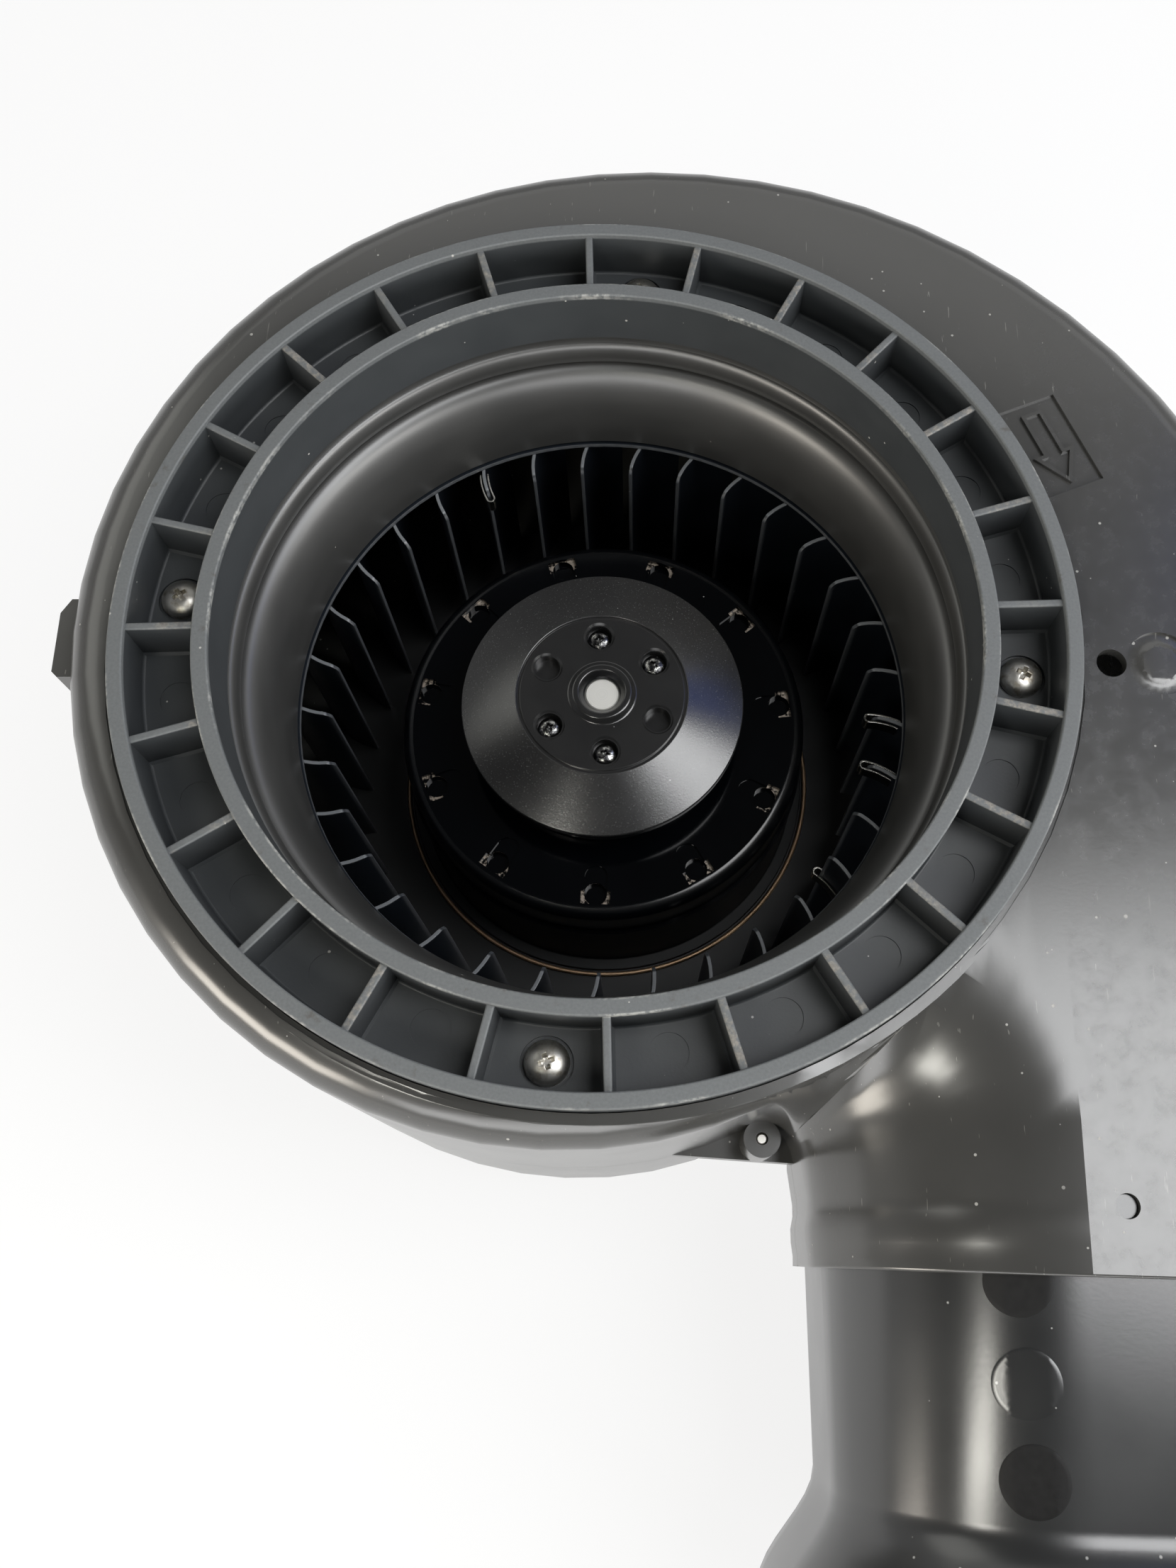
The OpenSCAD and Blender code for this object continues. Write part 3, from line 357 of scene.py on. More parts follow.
def rounded(points, turns=3):
    # corners given as (r, z, radius) become short arcs
    out = []
    for k, (r, z, radius) in enumerate(points):
        here = Vector((r, z))
        before, after = (Vector(points[(k + d) % len(points)][:2]) - here for d in (-1, 1))
        if radius == 0 or before.length == 0 or after.length == 0:
            out.append((r, z))
            continue
        before.normalize()
        after.normalize()
        half = before.angle(after) / 2
        first = here + before * radius / math.tan(half)
        last = here + after * radius / math.tan(half)
        middle = here + (before + after).normalized() * radius / math.sin(half)
        for j in range(turns + 1):
            spoke = (first - middle).lerp(last - middle, j / turns).normalized()
            point = middle + spoke * radius
            out.append((point.x, point.y))
    return out


def turnedCopy(obj, angle, name):
    twin = bpy.data.objects.new(name, obj.data.copy())
    bpy.context.scene.collection.objects.link(twin)
    twin.data.transform(Matrix.Rotation(math.radians(angle), 4, "Z"))
    return twin


def joined(parts, name):
    clearSelection()
    for part in parts:
        part.select_set(True)
    bpy.context.view_layer.objects.active = parts[0]
    bpy.ops.object.join()
    parts[0].name = name
    return parts[0]


def settled(obj):
    pickOnly(obj)
    bpy.ops.object.transform_apply(location=True, rotation=True, scale=True)


def dress(obj, finish, body, node=None):
    obj.data.materials.clear()
    obj.data.materials.append(finish.material)
    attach(obj, body)
    if node:
        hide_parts(node)


def cadCopy(node, name, finish, angle, edge=0.0):
    obj = bpy.data.objects.new(name, cad[node].data.copy())
    bpy.context.scene.collection.objects.link(obj)
    pickOnly(obj)
    bpy.ops.mesh.customdata_custom_splitnormals_clear()
    inEdit(obj, mergeDoubles)
    if edge:
        inEdit(obj, selectAll, lambda: bpy.ops.mesh.dissolve_limited(angle_limit=math.radians(copied["flat"])))
        softEdges(obj, edge, copied["edgeAngle"])
    smoothed(obj, angle)
    dress(obj, finish, bodyOf[node], node)
    return obj


def polar(r, a, z):
    turn = math.radians(a)
    return Vector((r * math.cos(turn), r * math.sin(turn), z)) * mm


def cutAll(piece, tools):
    tool = joined(tools, "tools")
    settled(tool)
    cut(piece, tool)


# holes as (circle, angle, radius, top, depth)
def drill(piece, holes):
    tools = []
    for r, a, radius, top, deep in holes:
        clearSelection()
        bpy.ops.mesh.primitive_cylinder_add(vertices=toolSides, radius=radius * mm, depth=2 * deep * mm,
                                            location=polar(r, a, top))
        tools.append(bpy.context.object)
    cutAll(piece, tools)


# chamfers round holes, given in the same way
def sink(piece, cones):
    tools = []
    for r, a, radius, top, deep in cones:
        clearSelection()
        bpy.ops.mesh.primitive_cone_add(vertices=toolSides, radius1=(radius - deep) * mm,
                                        radius2=(radius + deep) * mm, depth=2 * deep * mm,
                                        location=polar(r, a, top))
        tools.append(bpy.context.object)
    cutAll(piece, tools)


# slots along a radius as (inner end, outer end, angle, width, top, depth)
def mill(piece, slots):
    tools = []
    for inner, outer, a, wide, top, deep in slots:
        clearSelection()
        bpy.ops.mesh.primitive_cube_add(size=mm, rotation=(0, 0, math.radians(a)),
                                        location=polar((inner + outer) / 2, a, top))
        slot = bpy.context.object
        slot.scale = (outer - inner, wide, 2 * deep)
        settled(slot)
        tools.append(slot)
    cutAll(piece, tools)


setCamera()
setStage()
print("camera, floor and lights set")

# finishes: a look names the tones, and in millimetres the spans over which a mask comes in
shellLook = {"dark": (0.033, 0.0326, 0.0308), "light": (0.05, 0.0495, 0.047), "scuffed": (0.2, 0.195, 0.18),
             "dusty": (0.45, 0.44, 0.41), "flatFace": (111.3, 111.7)}
shellPlastic = Finish("shellPlastic", Roughness=0.28, Specular_IOR_Level=1.0)
cloud = shellPlastic.noise(38, 4)
flatFace = shellPlastic.within(shellPlastic.along("X"), shellLook["flatFace"])
haze = shellPlastic.step(shellPlastic.noise(5, 5, 0.7), 0.4, 0.7) * flatFace
dust = shellPlastic.maths("MAXIMUM", shellPlastic.specks(3.6, 0.36, 0.36), shellPlastic.specks(9, 0.5, 0.3))
hairs = (shellPlastic.scratches(0.9, 7, 0.27, (0, 0, 1.9))
         + shellPlastic.scratches(1.1, 9, 0.26, (0, 0, -0.5))) * 0.5
scuff = shellPlastic.scratches(1.6, 26, 0.3, (0, 0, 0.6)) * shellPlastic.step(cloud, 0.5, 0.62)
tone = shellPlastic.blend(cloud, shellLook["dark"], shellLook["light"])
tone = shellPlastic.blend(scuff * 0.35 + hairs, tone, shellLook["scuffed"])
shellPlastic.feed("Base Color", shellPlastic.blend(dust * 0.65, tone, shellLook["dusty"]))
shellPlastic.feed("Roughness", 0.19 + cloud * 0.08 + haze * 0.06 + dust * 0.3)
shellPlastic.bump(shellPlastic.noise(0.9, 3), 0.03, 0.25)

# the ring's tops have lighter tones of their own, partly real wear and partly painted light; the walls and pocket
# floors keep the darker tones as painted shade
ringLook = {"dark": (0.027, 0.0303, 0.033), "light": (0.04, 0.0442, 0.0472), "wornLitRimDark": (0.072, 0.078, 0.081),
            "wornLitRimLight": (0.13, 0.138, 0.141), "dirt": (0.045, 0.036, 0.026), "crustDark": (0.03, 0.022, 0.015),
            "crustLight": (0.4, 0.37, 0.32), "worn": (0.34, 0.34, 0.32), "speck": (0.5, 0.49, 0.46),
            "rim": (-1.9, -1.2), "collarIn": (96.6, 96.1), "collarOut": ((99.4, 99.8), (100.4, 100.1)),
            "ringOut": (119.7, 120.2), "ribs": ((100.2, 100.6), (116.3, 115.9))}
ringPlastic = Finish("ringPlastic", Roughness=0.6, Specular_IOR_Level=0.7)
grain = ringPlastic.noise(0.7, 3)
patch = ringPlastic.noise(16, 4)
across = ringPlastic.radius()
# mask of the ring's tops: painted light on the tops, partly real wear, against painted shade in the pockets below
rim = ringPlastic.within(ringPlastic.along("Z"), ringLook["rim"])
edges = (ringPlastic.within(across, ringLook["collarIn"]) + ringPlastic.within(across, *ringLook["collarOut"])
         + ringPlastic.within(across, ringLook["ringOut"]))
worn = (rim * edges * ringPlastic.step(ringPlastic.noise(26, 3), 0.48, 0.62)
        * ringPlastic.step(ringPlastic.noise(1.4, 3), 0.35, 0.62))
dirt = rim * ringPlastic.step(ringPlastic.noise(9, 5, 0.7), 0.6, 0.72)
crust = (rim * ringPlastic.within(across, *ringLook["ribs"])
         * ringPlastic.step(ringPlastic.noise(40, 2), 0.46, 0.58)
         * ringPlastic.step(ringPlastic.noise(1.6, 4, 0.7), 0.42, 0.6))
tone = ringPlastic.blend(patch, ringLook["dark"], ringLook["light"])
# the tops take their lighter tones: partly worn plastic, partly painted light
tone = ringPlastic.blend(rim, tone, ringPlastic.blend(grain, ringLook["wornLitRimDark"], ringLook["wornLitRimLight"]))
tone = ringPlastic.blend(dirt * 0.55, tone, ringLook["dirt"])
tone = ringPlastic.blend(crust * 0.7, tone, ringPlastic.blend(grain, ringLook["crustDark"], ringLook["crustLight"]))
tone = ringPlastic.blend(worn * 0.75, tone, ringLook["worn"])
ringPlastic.feed("Base Color", ringPlastic.speckled(tone, 4, 0.32, 0.22, 0.7, ringLook["speck"]))
ringPlastic.feed("Roughness", 0.42 + patch * 0.14 + rim * 0.14)
ringPlastic.bump(grain, 0.05, 0.5)

nozzleLook = {"dark": (0.025, 0.0254, 0.0247), "light": (0.042, 0.042, 0.0402), "speck": (0.4, 0.38, 0.34)}
nozzlePlastic = Finish("nozzlePlastic", Roughness=0.4, Specular_IOR_Level=1.0, IOR=1.6)
sheen = nozzlePlastic.noise(22, 3, 0.5, nozzlePlastic.stretch((1, 1, 2.5)))
tone = nozzlePlastic.blend(sheen, nozzleLook["dark"], nozzleLook["light"])
nozzlePlastic.feed("Base Color", nozzlePlastic.speckled(tone, 6, 0.34, 0.22, 0.6, nozzleLook["speck"]))
nozzlePlastic.feed("Roughness", 0.34 + sheen * 0.12)
nozzlePlastic.bump(nozzlePlastic.noise(1.2, 3), 0.02, 0.25)

ductLook = {"dark": (0.013, 0.0135, 0.014), "light": (0.024, 0.0248, 0.025), "speck": (0.5, 0.5, 0.48)}
ductPlastic = Finish("ductPlastic", Roughness=0.22, Specular_IOR_Level=1.0)
cloud = ductPlastic.noise(30, 4)
tone = ductPlastic.blend(cloud, ductLook["dark"], ductLook["light"])
ductPlastic.feed("Base Color", ductPlastic.speckled(tone, 4, 0.38, 0.34, 0.6, ductLook["speck"]))
ductPlastic.feed("Roughness", 0.19 + cloud * 0.1)
ductPlastic.bump(ductPlastic.noise(1.0, 3), 0.03, 0.25)

bellLook = {"dark": (0.0006, 0.0009, 0.0014), "light": (0.0012, 0.0016, 0.0024), "speck": (0.5, 0.5, 0.48),
            "bare": (0.42, 0.36, 0.3), "floorZ": ((-72.9, -72.8), (-72.5, -72.6)), "floorR": (56.2, 56.1),
            "rim": (56.6, 57.6), "foot": (-87.2, -88.5)}
bellPaint = Finish("bellPaint", Roughness=0.09)
film = bellPaint.noise(20, 4)
up = bellPaint.along("Z")
across = bellPaint.radius()
floors = (bellPaint.within(up, *bellLook["floorZ"]) * bellPaint.within(across, bellLook["floorR"])
          * bellPaint.step(bellPaint.noise(1.2, 3), 0.4, 0.6))
rim = bellPaint.within(across, bellLook["rim"])
foot = bellPaint.within(up, bellLook["foot"])
tone = bellPaint.blend(film, bellLook["dark"], bellLook["light"])
tone = bellPaint.speckled(tone, 5, 0.3, 0.2, 0.8, bellLook["speck"])
bellPaint.feed("Base Color", bellPaint.blend(floors, tone, bellLook["bare"]))
bellPaint.feed("Metallic", floors * 0.6)
bellPaint.feed("Roughness", 0.06 + film * 0.08 + floors * 0.35 + rim * 0.2 + foot * 0.25)

# hub paint: the wall tone is painted shade, near black, for the wall under the cone's foot and the bore round the
# shaft
hubLook = {"dark": (0.011, 0.011, 0.0113), "light": (0.019, 0.019, 0.0187), "flakeGlint": (0.15, 0.15, 0.145),
           "wall": (0.0008, 0.001, 0.0014), "speck": (0.5, 0.5, 0.48), "cone": (24.2, 24.6),
           "shadedWallZ": (-56.8, -57.3), "shadedBoreR": (6.6, 6.2)}
hubPaint = Finish("hubPaint", Roughness=0.3, Specular_IOR_Level=1.0)
across = hubPaint.radius()
# painted shade: mask of the wall under the cone's foot and of the bore round the shaft
wall = hubPaint.maths("MAXIMUM", hubPaint.within(hubPaint.along("Z"), hubLook["shadedWallZ"]),
                      hubPaint.within(across, hubLook["shadedBoreR"]))
# flakes on the cone in a lighter colour: partly the flakes' own colour, partly painted glints
flakeGlint = hubPaint.noise(0.5, 2, 0.7) * hubPaint.within(across, hubLook["cone"])
film = hubPaint.noise(14, 3)
tone = hubPaint.blend(film, hubLook["dark"], hubLook["light"])
tone = hubPaint.blend(hubPaint.step(flakeGlint, 0.6, 0.72) * 0.4, tone, hubLook["flakeGlint"])
# painted shade: the wall under the cone's foot and the bore go near black
tone = hubPaint.blend(wall, tone, hubLook["wall"])
hubPaint.feed("Base Color", hubPaint.speckled(tone, 4, 0.26, 0.2, 0.8, hubLook["speck"]))
hubPaint.feed("Roughness", 0.2 + film * 0.08)
hubPaint.bump(flakeGlint, 0.035, 0.6)

impellerLook = {"dark": (0.0055, 0.0075, 0.0105), "light": (0.0105, 0.0135, 0.019), "bare": (0.19, 0.2, 0.21),
                "speck": (0.35, 0.35, 0.33), "ringZ": (-58.2, -57.7), "ringR": (86.6, 86.2),
                "bladeR": (79.5, 78.4)}
impellerPaint = Finish("impellerPaint", Roughness=0.32)
film = impellerPaint.noise(12, 4)
across = impellerPaint.radius()
# lighter along the blades' front ends and, more faintly, along the blades' inner edges
bare = (impellerPaint.within(impellerPaint.along("Z"), impellerLook["ringZ"])
        * impellerPaint.within(across, impellerLook["ringR"])
        + impellerPaint.within(across, impellerLook["bladeR"]) * 0.4)
tone = impellerPaint.blend(film, impellerLook["dark"], impellerLook["light"])
tone = impellerPaint.blend(bare * 0.8, tone, impellerLook["bare"])
impellerPaint.feed("Base Color", impellerPaint.speckled(tone, 6, 0.35, 0.2, 0.6, impellerLook["speck"]))
impellerPaint.feed("Roughness", 0.26 + film * 0.14)

nickelLook = {"bright": (0.75, 0.73, 0.68), "stained": (0.4, 0.36, 0.29)}
nickel = Finish("nickel", Roughness=0.22, Metallic=1.0)
stain = nickel.noise(2.2, 4)
tone = nickel.blend(nickel.step(stain, 0.45, 0.72), nickelLook["bright"], nickelLook["stained"])
nickel.feed("Base Color", tone)
nickel.feed("Roughness", 0.24 + stain * 0.26)
nickel.bump(nickel.noise(0.5, 3), 0.02, 0.4)

blackSteelLook = {"black": (0.06, 0.06, 0.062), "rubbed": (0.5, 0.5, 0.48)}
blackSteel = Finish("blackSteel", Roughness=0.28, Metallic=1.0)
stain = blackSteel.noise(1.2, 4)
tone = blackSteel.blend(blackSteel.step(stain, 0.45, 0.65), blackSteelLook["black"], blackSteelLook["rubbed"])
blackSteel.feed("Base Color", tone)
blackSteel.feed("Roughness", 0.14 + stain * 0.2)
blackSteel.bump(blackSteel.noise(0.6, 3), 0.12, 0.9)

# plainer finishes: one pattern goes between two tones and also sets the roughness and the relief
markPlastic = Finish("markPlastic", Roughness=0.5, Specular_IOR_Level=0.25)
markPlastic.mottle(markPlastic.noise(1.5, 4), ((0.003, 0.003, 0.0032), (0.009, 0.009, 0.009)), (0.42, 0.2),
                   (0.08, 0.5))
# the impeller's back plate is painted darker than the blades: painted shade for its place deep under them
shadedPlatePaint = Finish("shadedPlatePaint", Roughness=0.4)
shadedPlatePaint.mottle(shadedPlatePaint.noise(12, 4), ((0.0015, 0.0017, 0.002), (0.004, 0.0042, 0.0046)), (0.36, 0.16))
agedBrass = Finish("agedBrass", Roughness=0.35, Metallic=1.0)
agedBrass.mottle(agedBrass.noise(5, 4), ((0.42, 0.28, 0.17), (0.72, 0.52, 0.34)), (0.4, 0.2))
groundSteel = Finish("groundSteel", Roughness=0.25, Metallic=0.6)
groundSteel.mottle(groundSteel.lines(groundSteel.radius(), 3500.0, 3.0),
                   ((0.66, 0.65, 0.61), (0.82, 0.81, 0.77)), (0.42, 0.2), (0.03, 0.8))
springSteel = Finish("springSteel", Roughness=0.2, Metallic=1.0)
springSteel.mottle(springSteel.noise(1.5, 3), ((0.52, 0.5, 0.44), (0.7, 0.69, 0.65)), (0.12, 0.16))
castPaint = Finish("castPaint", Roughness=0.5)
castPaint.mottle(castPaint.noise(1.1, 4), ((0.012, 0.012, 0.013), (0.026, 0.026, 0.026)), (0.42, 0.2), (0.08, 0.6))
rubber = Finish("rubber", Roughness=0.75)
rubber.mottle(rubber.noise(0.8, 3), ((0.007, 0.007, 0.007), (0.016, 0.016, 0.016)), (0.66, 0.2))
sheetStack = Finish("sheetStack", Roughness=0.4, Metallic=1.0)
sheetStack.mottle(sheetStack.lines(sheetStack.along("Z"), 2000.0, 2.0),
                  ((0.2, 0.2, 0.21), (0.4, 0.4, 0.42)), (0.32, 0.2), (0.06, 0.6))
copperWire = Finish("copperWire", Roughness=0.3, Metallic=1.0)
copperWire.mottle(copperWire.noise(0.8, 2, 0.5, copperWire.stretch((1, 1, 0.3))),
                  ((0.42, 0.17, 0.06), (0.72, 0.36, 0.16)), (0.22, 0.2), (0.15, 0.7))
print("finishes made")

# inlet ring: a lathed channel with ribs joined into it
inletRing = {"collarIn": 95.9, "collarOut": 100.0, "pocketOut": 116.5, "ringOut": 120.4, "floor": -15.0,
             "base": -17.5, "edge": 0.45, "root": 0.8, "steps": 240, "smooth": 32,
             "ribs": 24, "firstRib": 93.55, "ribThick": 2.0, "ribTop": -1.2, "ribEdge": 0.5, "ribFoot": 0.7,
             "ribBite": 2.0, "ribSink": 1.2,
             "screwEvery": 6, "screwCircle": 108.8, "shankHole": 2.1, "shankDeep": 4.0, "seat": 6.3, "seatDeep": 0.8,
             "pin": 4.8, "pinDeep": 0.3, "pinCircle": 107.4}
ribPitch = 360 / inletRing["ribs"]
pocketTurns = [inletRing["firstRib"] - ribPitch * (k + 0.5) for k in range(inletRing["ribs"])]
ringScrewTurns = pocketTurns[::inletRing["screwEvery"]]


def makeInletRing():
    s = inletRing
    profile = [(s["collarIn"], s["base"], 0), (s["collarIn"], 0, s["edge"]), (s["collarOut"], 0, s["edge"]),
               (s["collarOut"], s["floor"], s["root"]), (s["pocketOut"], s["floor"], s["root"]),
               (s["pocketOut"], 0, s["edge"]), (s["ringOut"], 0, s["edge"]), (s["ringOut"], s["base"], 0)]
    ring = lathe("inletRing", rounded(profile), s["steps"])
    # one rib with a spread foot and rounded top edges, then its copies round the ring
    inner, outer = s["collarOut"] - s["ribBite"], s["pocketOut"] + s["ribBite"]
    low, top = s["floor"] - s["ribSink"], s["ribTop"]
    clearSelection()
    bpy.ops.mesh.primitive_cube_add(size=1, location=((inner + outer) / 2 * mm, 0, (top + low) / 2 * mm))
    rib = bpy.context.object
    rib.scale = ((outer - inner) * mm, s["ribThick"] * mm, (top - low) * mm)
    settled(rib)
    inEdit(rib, selectAll, lambda: bpy.ops.mesh.bisect(plane_co=(0, 0, (s["floor"] + s["ribFoot"]) * mm),
                                                       plane_no=(0, 0, 1)))
    selectWhere(rib, "vertices", lambda v: v.co.z < low * mm + tiny)
    spread = 1 + 2 * (s["ribFoot"] + s["ribSink"]) / s["ribThick"]
    inEdit(rib, lambda: bpy.ops.transform.resize(value=(1, spread, 1)))

    def topEdge(e):
        a, b = (rib.data.vertices[k].co for k in e.vertices)
        return min(a.z, b.z) > top * mm - tiny and abs(a.x - b.x) > mm

    selectWhere(rib, "edges", topEdge)
    inEdit(rib, lambda: bpy.ops.mesh.bevel(offset=s["ribEdge"] * mm, segments=3, affect="EDGES"))
    ribs = [turnedCopy(rib, s["firstRib"] - ribPitch * k, "rib%d" % k) for k in range(s["ribs"])]
    bpy.data.objects.remove(rib)
    cut(ring, joined(ribs, "ribs"), "UNION")
    # counterbores for the screws, shallow round ejector marks in the other pockets, then the shank holes
    drill(ring, [(s["screwCircle"], a, s["seat"], s["floor"], s["seatDeep"]) if a in ringScrewTurns
                 else (s["pinCircle"], a, s["pin"], s["floor"], s["pinDeep"]) for a in pocketTurns])
    drill(ring, [(s["screwCircle"], a, s["shankHole"], s["floor"], s["shankDeep"]) for a in ringScrewTurns])
    smoothed(ring, s["smooth"])
    dress(ring, ringPlastic, "housing", "inlet_ring")


# inlet nozzle: a flange under the ring, a rolled lip, then an elliptical bell down to the throat
inletNozzle = {"flangeIn": 96.6, "flangeOut": 120.1, "top": -17.5, "thick": 1.5, "lipZ": -20.5, "lip": 1.9,
               "bell": 95.2, "bellZ": -28.5, "throat": 86.9, "throatZ": -55.0, "skirt": 1.2, "hole": 2.3,
               "lipTurns": 18, "bellTurns": 30, "steps": 240, "smooth": 40}


def makeInletNozzle():
    s = inletNozzle
    wide, deep = s["bell"] - s["throat"], s["bellZ"] - s["throatZ"]
    lipLong = s["lipZ"] - s["bellZ"]
    inner = [(s["flangeIn"], s["top"])]
    for k in range(s["lipTurns"] + 1):
        a = math.pi * k / s["lipTurns"]
        inner.append((s["flangeIn"] - s["lip"] * math.sin(a), s["lipZ"] - lipLong * (1 - math.cos(a)) / 2))
    outer = []
    for k in range(s["bellTurns"] + 1):
        a = math.pi / 2 * k / s["bellTurns"]
        r, z = s["throat"] + wide * (1 - math.sin(a)), s["bellZ"] - deep * (1 - math.cos(a))
        inner.append((r, z))
        outer.append((r + s["thick"] * math.sin(a), z - s["thick"] * math.cos(a)))
    low = s["top"] - s["thick"]
    side = s["bell"] + s["thick"] + s["skirt"]
    outer = outer[::-1] + [(side, s["bellZ"] - s["thick"]), (side, low), (s["flangeOut"], low),
                           (s["flangeOut"], s["top"])]
    nozzle = lathe("inletNozzle", inner + outer, s["steps"])
    drill(nozzle, [(inletRing["screwCircle"], a, s["hole"], s["top"], inletRing["shankDeep"])
                   for a in ringScrewTurns])
    smoothed(nozzle, s["smooth"])
    dress(nozzle, nozzlePlastic, "housing", "inlet_nozzle")


# ring screws: a pan head with a worn cross recess
ringScrew = {"head": 5.4, "headHigh": 4.0, "shank": 2.0, "length": 9.7, "arm": 5.4, "armWide": 1.5,
             "recess": 2.3, "edge": 0.14, "turns": (20, 65, 110, 38)}
# what all screws share: the tip's chamfer, the straight part of the head, and the taper of the recess
screwForm = {"tip": 0.4, "straight": 0.25, "domeStep": 10, "taper": (0.45, 0.6, 1), "edgeAngle": 45, "steps": 48,
             "smooth": 40}


def makeScrew(s):
    tip, straight = screwForm["tip"], screwForm["straight"]
    profile = [(0, -s["length"]), (s["shank"] - tip, -s["length"]), (s["shank"], tip - s["length"]),
               (s["shank"], 0), (s["head"], 0)]
    for a in range(0, 90, screwForm["domeStep"]):
        turn = math.radians(a)
        profile.append((s["head"] * math.cos(turn), s["headHigh"] * (straight + (1 - straight) * math.sin(turn))))
    screw = lathe("screw", profile + [(0, s["headHigh"])], screwForm["steps"], closed=False)
    arms = []
    for turn in (0, 90):
        clearSelection()
        bpy.ops.mesh.primitive_cube_add(size=1, location=(0, 0, s["headHigh"] * mm))
        bar = bpy.context.object
        bar.scale = (s["arm"] * mm, s["armWide"] * mm, 2 * s["recess"] * mm)
        settled(bar)
        selectWhere(bar, "polygons", lambda p: p.normal.z < -0.9)
        inEdit(bar, lambda: bpy.ops.transform.resize(value=screwForm["taper"]))
        bar.data.transform(Matrix.Rotation(math.radians(turn), 4, "Z"))
        arms.append(bar)
    cut(arms[0], arms[1], "UNION")
    cut(screw, arms[0])
    softEdges(screw, s["edge"], screwForm["edgeAngle"])
    return screw


def placedScrews(screw, places, name):
    copies = []
    for k, (place, turn) in enumerate(places):
        twin = turnedCopy(screw, turn, name + str(k))
        twin.data.transform(Matrix.Translation(place))
        copies.append(twin)
    bpy.data.objects.remove(screw)
    screws = joined(copies, name)
    smoothed(screws, screwForm["smooth"])
    return screws


def makeRingScrews():
    r, z = inletRing["screwCircle"], inletRing["floor"] - inletRing["seatDeep"]
    places = [(polar(r, a, z), turn) for a, turn in zip(ringScrewTurns, ringScrew["turns"])]
    dress(placedScrews(makeScrew(ringScrew), places, "ringScrews"), nickel, "housing", "ring_screws")


# hub screws: smaller, dark, in four of the hub's six counterbores
hubScrew = {"head": 3.3, "headHigh": 2.2, "shank": 2.0, "length": 17.8, "arm": 3.6, "armWide": 1.0,
            "recess": 1.5, "edge": 0.1, "circle": 17.66, "z": -53.7, "first": 95.0, "bores": 6,
            "used": (0, 1, 3, 4), "turns": (10, 48, 75, 30)}
hubBoreTurns = [hubScrew["first"] - 360 / hubScrew["bores"] * k for k in range(hubScrew["bores"])]
hubScrewTurns = [hubBoreTurns[k] for k in hubScrew["used"]]


def makeHubScrews():
    s = hubScrew
    places = [(polar(s["circle"], a, s["z"]), turn) for a, turn in zip(hubScrewTurns, s["turns"])]
    dress(placedScrews(makeScrew(s), places, "hubScrews"), blackSteel, "rotor", "hub_screws")


# rotor bell: lathed, with a rounded rim and milled balancing notches
rotorBell = {"bore": 5.0, "seat": 36.5, "seatZ": -68.0, "seatWall": 4.0, "seatUnderZ": -72.0, "faceZ": -71.5,
             "side": 60.0, "rim": 3.6, "stepZ": -88.0, "stepHigh": 1.0, "lower": 61.0, "flange": 64.6,
             "plateZ": -123.0, "plateThick": 1.5, "inner": 56.0, "underZ": -76.0, "corner": 0.4, "root": 0.6,
             "notches": 11, "firstNotch": 106.1, "notchOut": 56.0, "notchIn": 52.2, "notchWide": 8.4,
             "notchDeep": 1.2, "slotIn": 48.0, "slotWide": 6.6, "slotDeep": 0.7,
             "holeCircle": 52.9, "hole": 3.25, "holeDeep": 3.0, "shankHole": 2.1, "shankDeep": 6.0,
             "edge": 0.12, "edgeAngle": 45, "turns": 6, "steps": 180, "smooth": 30}


def makeRotorBell():
    s = rotorBell
    top = s["plateZ"] + s["plateThick"]
    corner, wall = s["corner"], s["seat"] + s["seatWall"]
    profile = [(s["bore"], s["seatUnderZ"], 0), (s["bore"], s["seatZ"], 0), (s["seat"], s["seatZ"], 0),
               (s["seat"], s["faceZ"], corner), (s["side"], s["faceZ"], s["rim"]),
               (s["side"], s["stepZ"] + s["stepHigh"], corner), (s["lower"], s["stepZ"], corner),
               (s["lower"], top, s["root"]), (s["flange"], top, corner), (s["flange"], s["plateZ"], 0),
               (s["inner"], s["plateZ"], 0), (s["inner"], s["underZ"], 0), (wall, s["underZ"], 0),
               (wall, s["seatUnderZ"], 0)]
    bell = lathe("rotorBell", rounded(profile, s["turns"]), s["steps"])
    turns = [s["firstNotch"] - 360 / s["notches"] * k for k in range(s["notches"])]
    mill(bell, [(s["notchIn"], s["notchOut"], a, s["notchWide"], s["faceZ"], s["notchDeep"]) for a in turns])
    mill(bell, [(s["slotIn"], s["holeCircle"], a, s["slotWide"], s["faceZ"], s["slotDeep"]) for a in turns])
    drill(bell, [(s["slotIn"], a, s["slotWide"] / 2, s["faceZ"], s["slotDeep"]) for a in turns])
    drill(bell, [(s["holeCircle"], a, s["hole"], s["faceZ"], s["holeDeep"]) for a in turns])
    drill(bell, [(hubScrew["circle"], a, s["shankHole"], s["seatZ"], s["shankDeep"]) for a in hubScrewTurns])
    softEdges(bell, s["edge"], s["edgeAngle"])
    smoothed(bell, s["smooth"])
    dress(bell, bellPaint, "rotor", "rotor_bell")


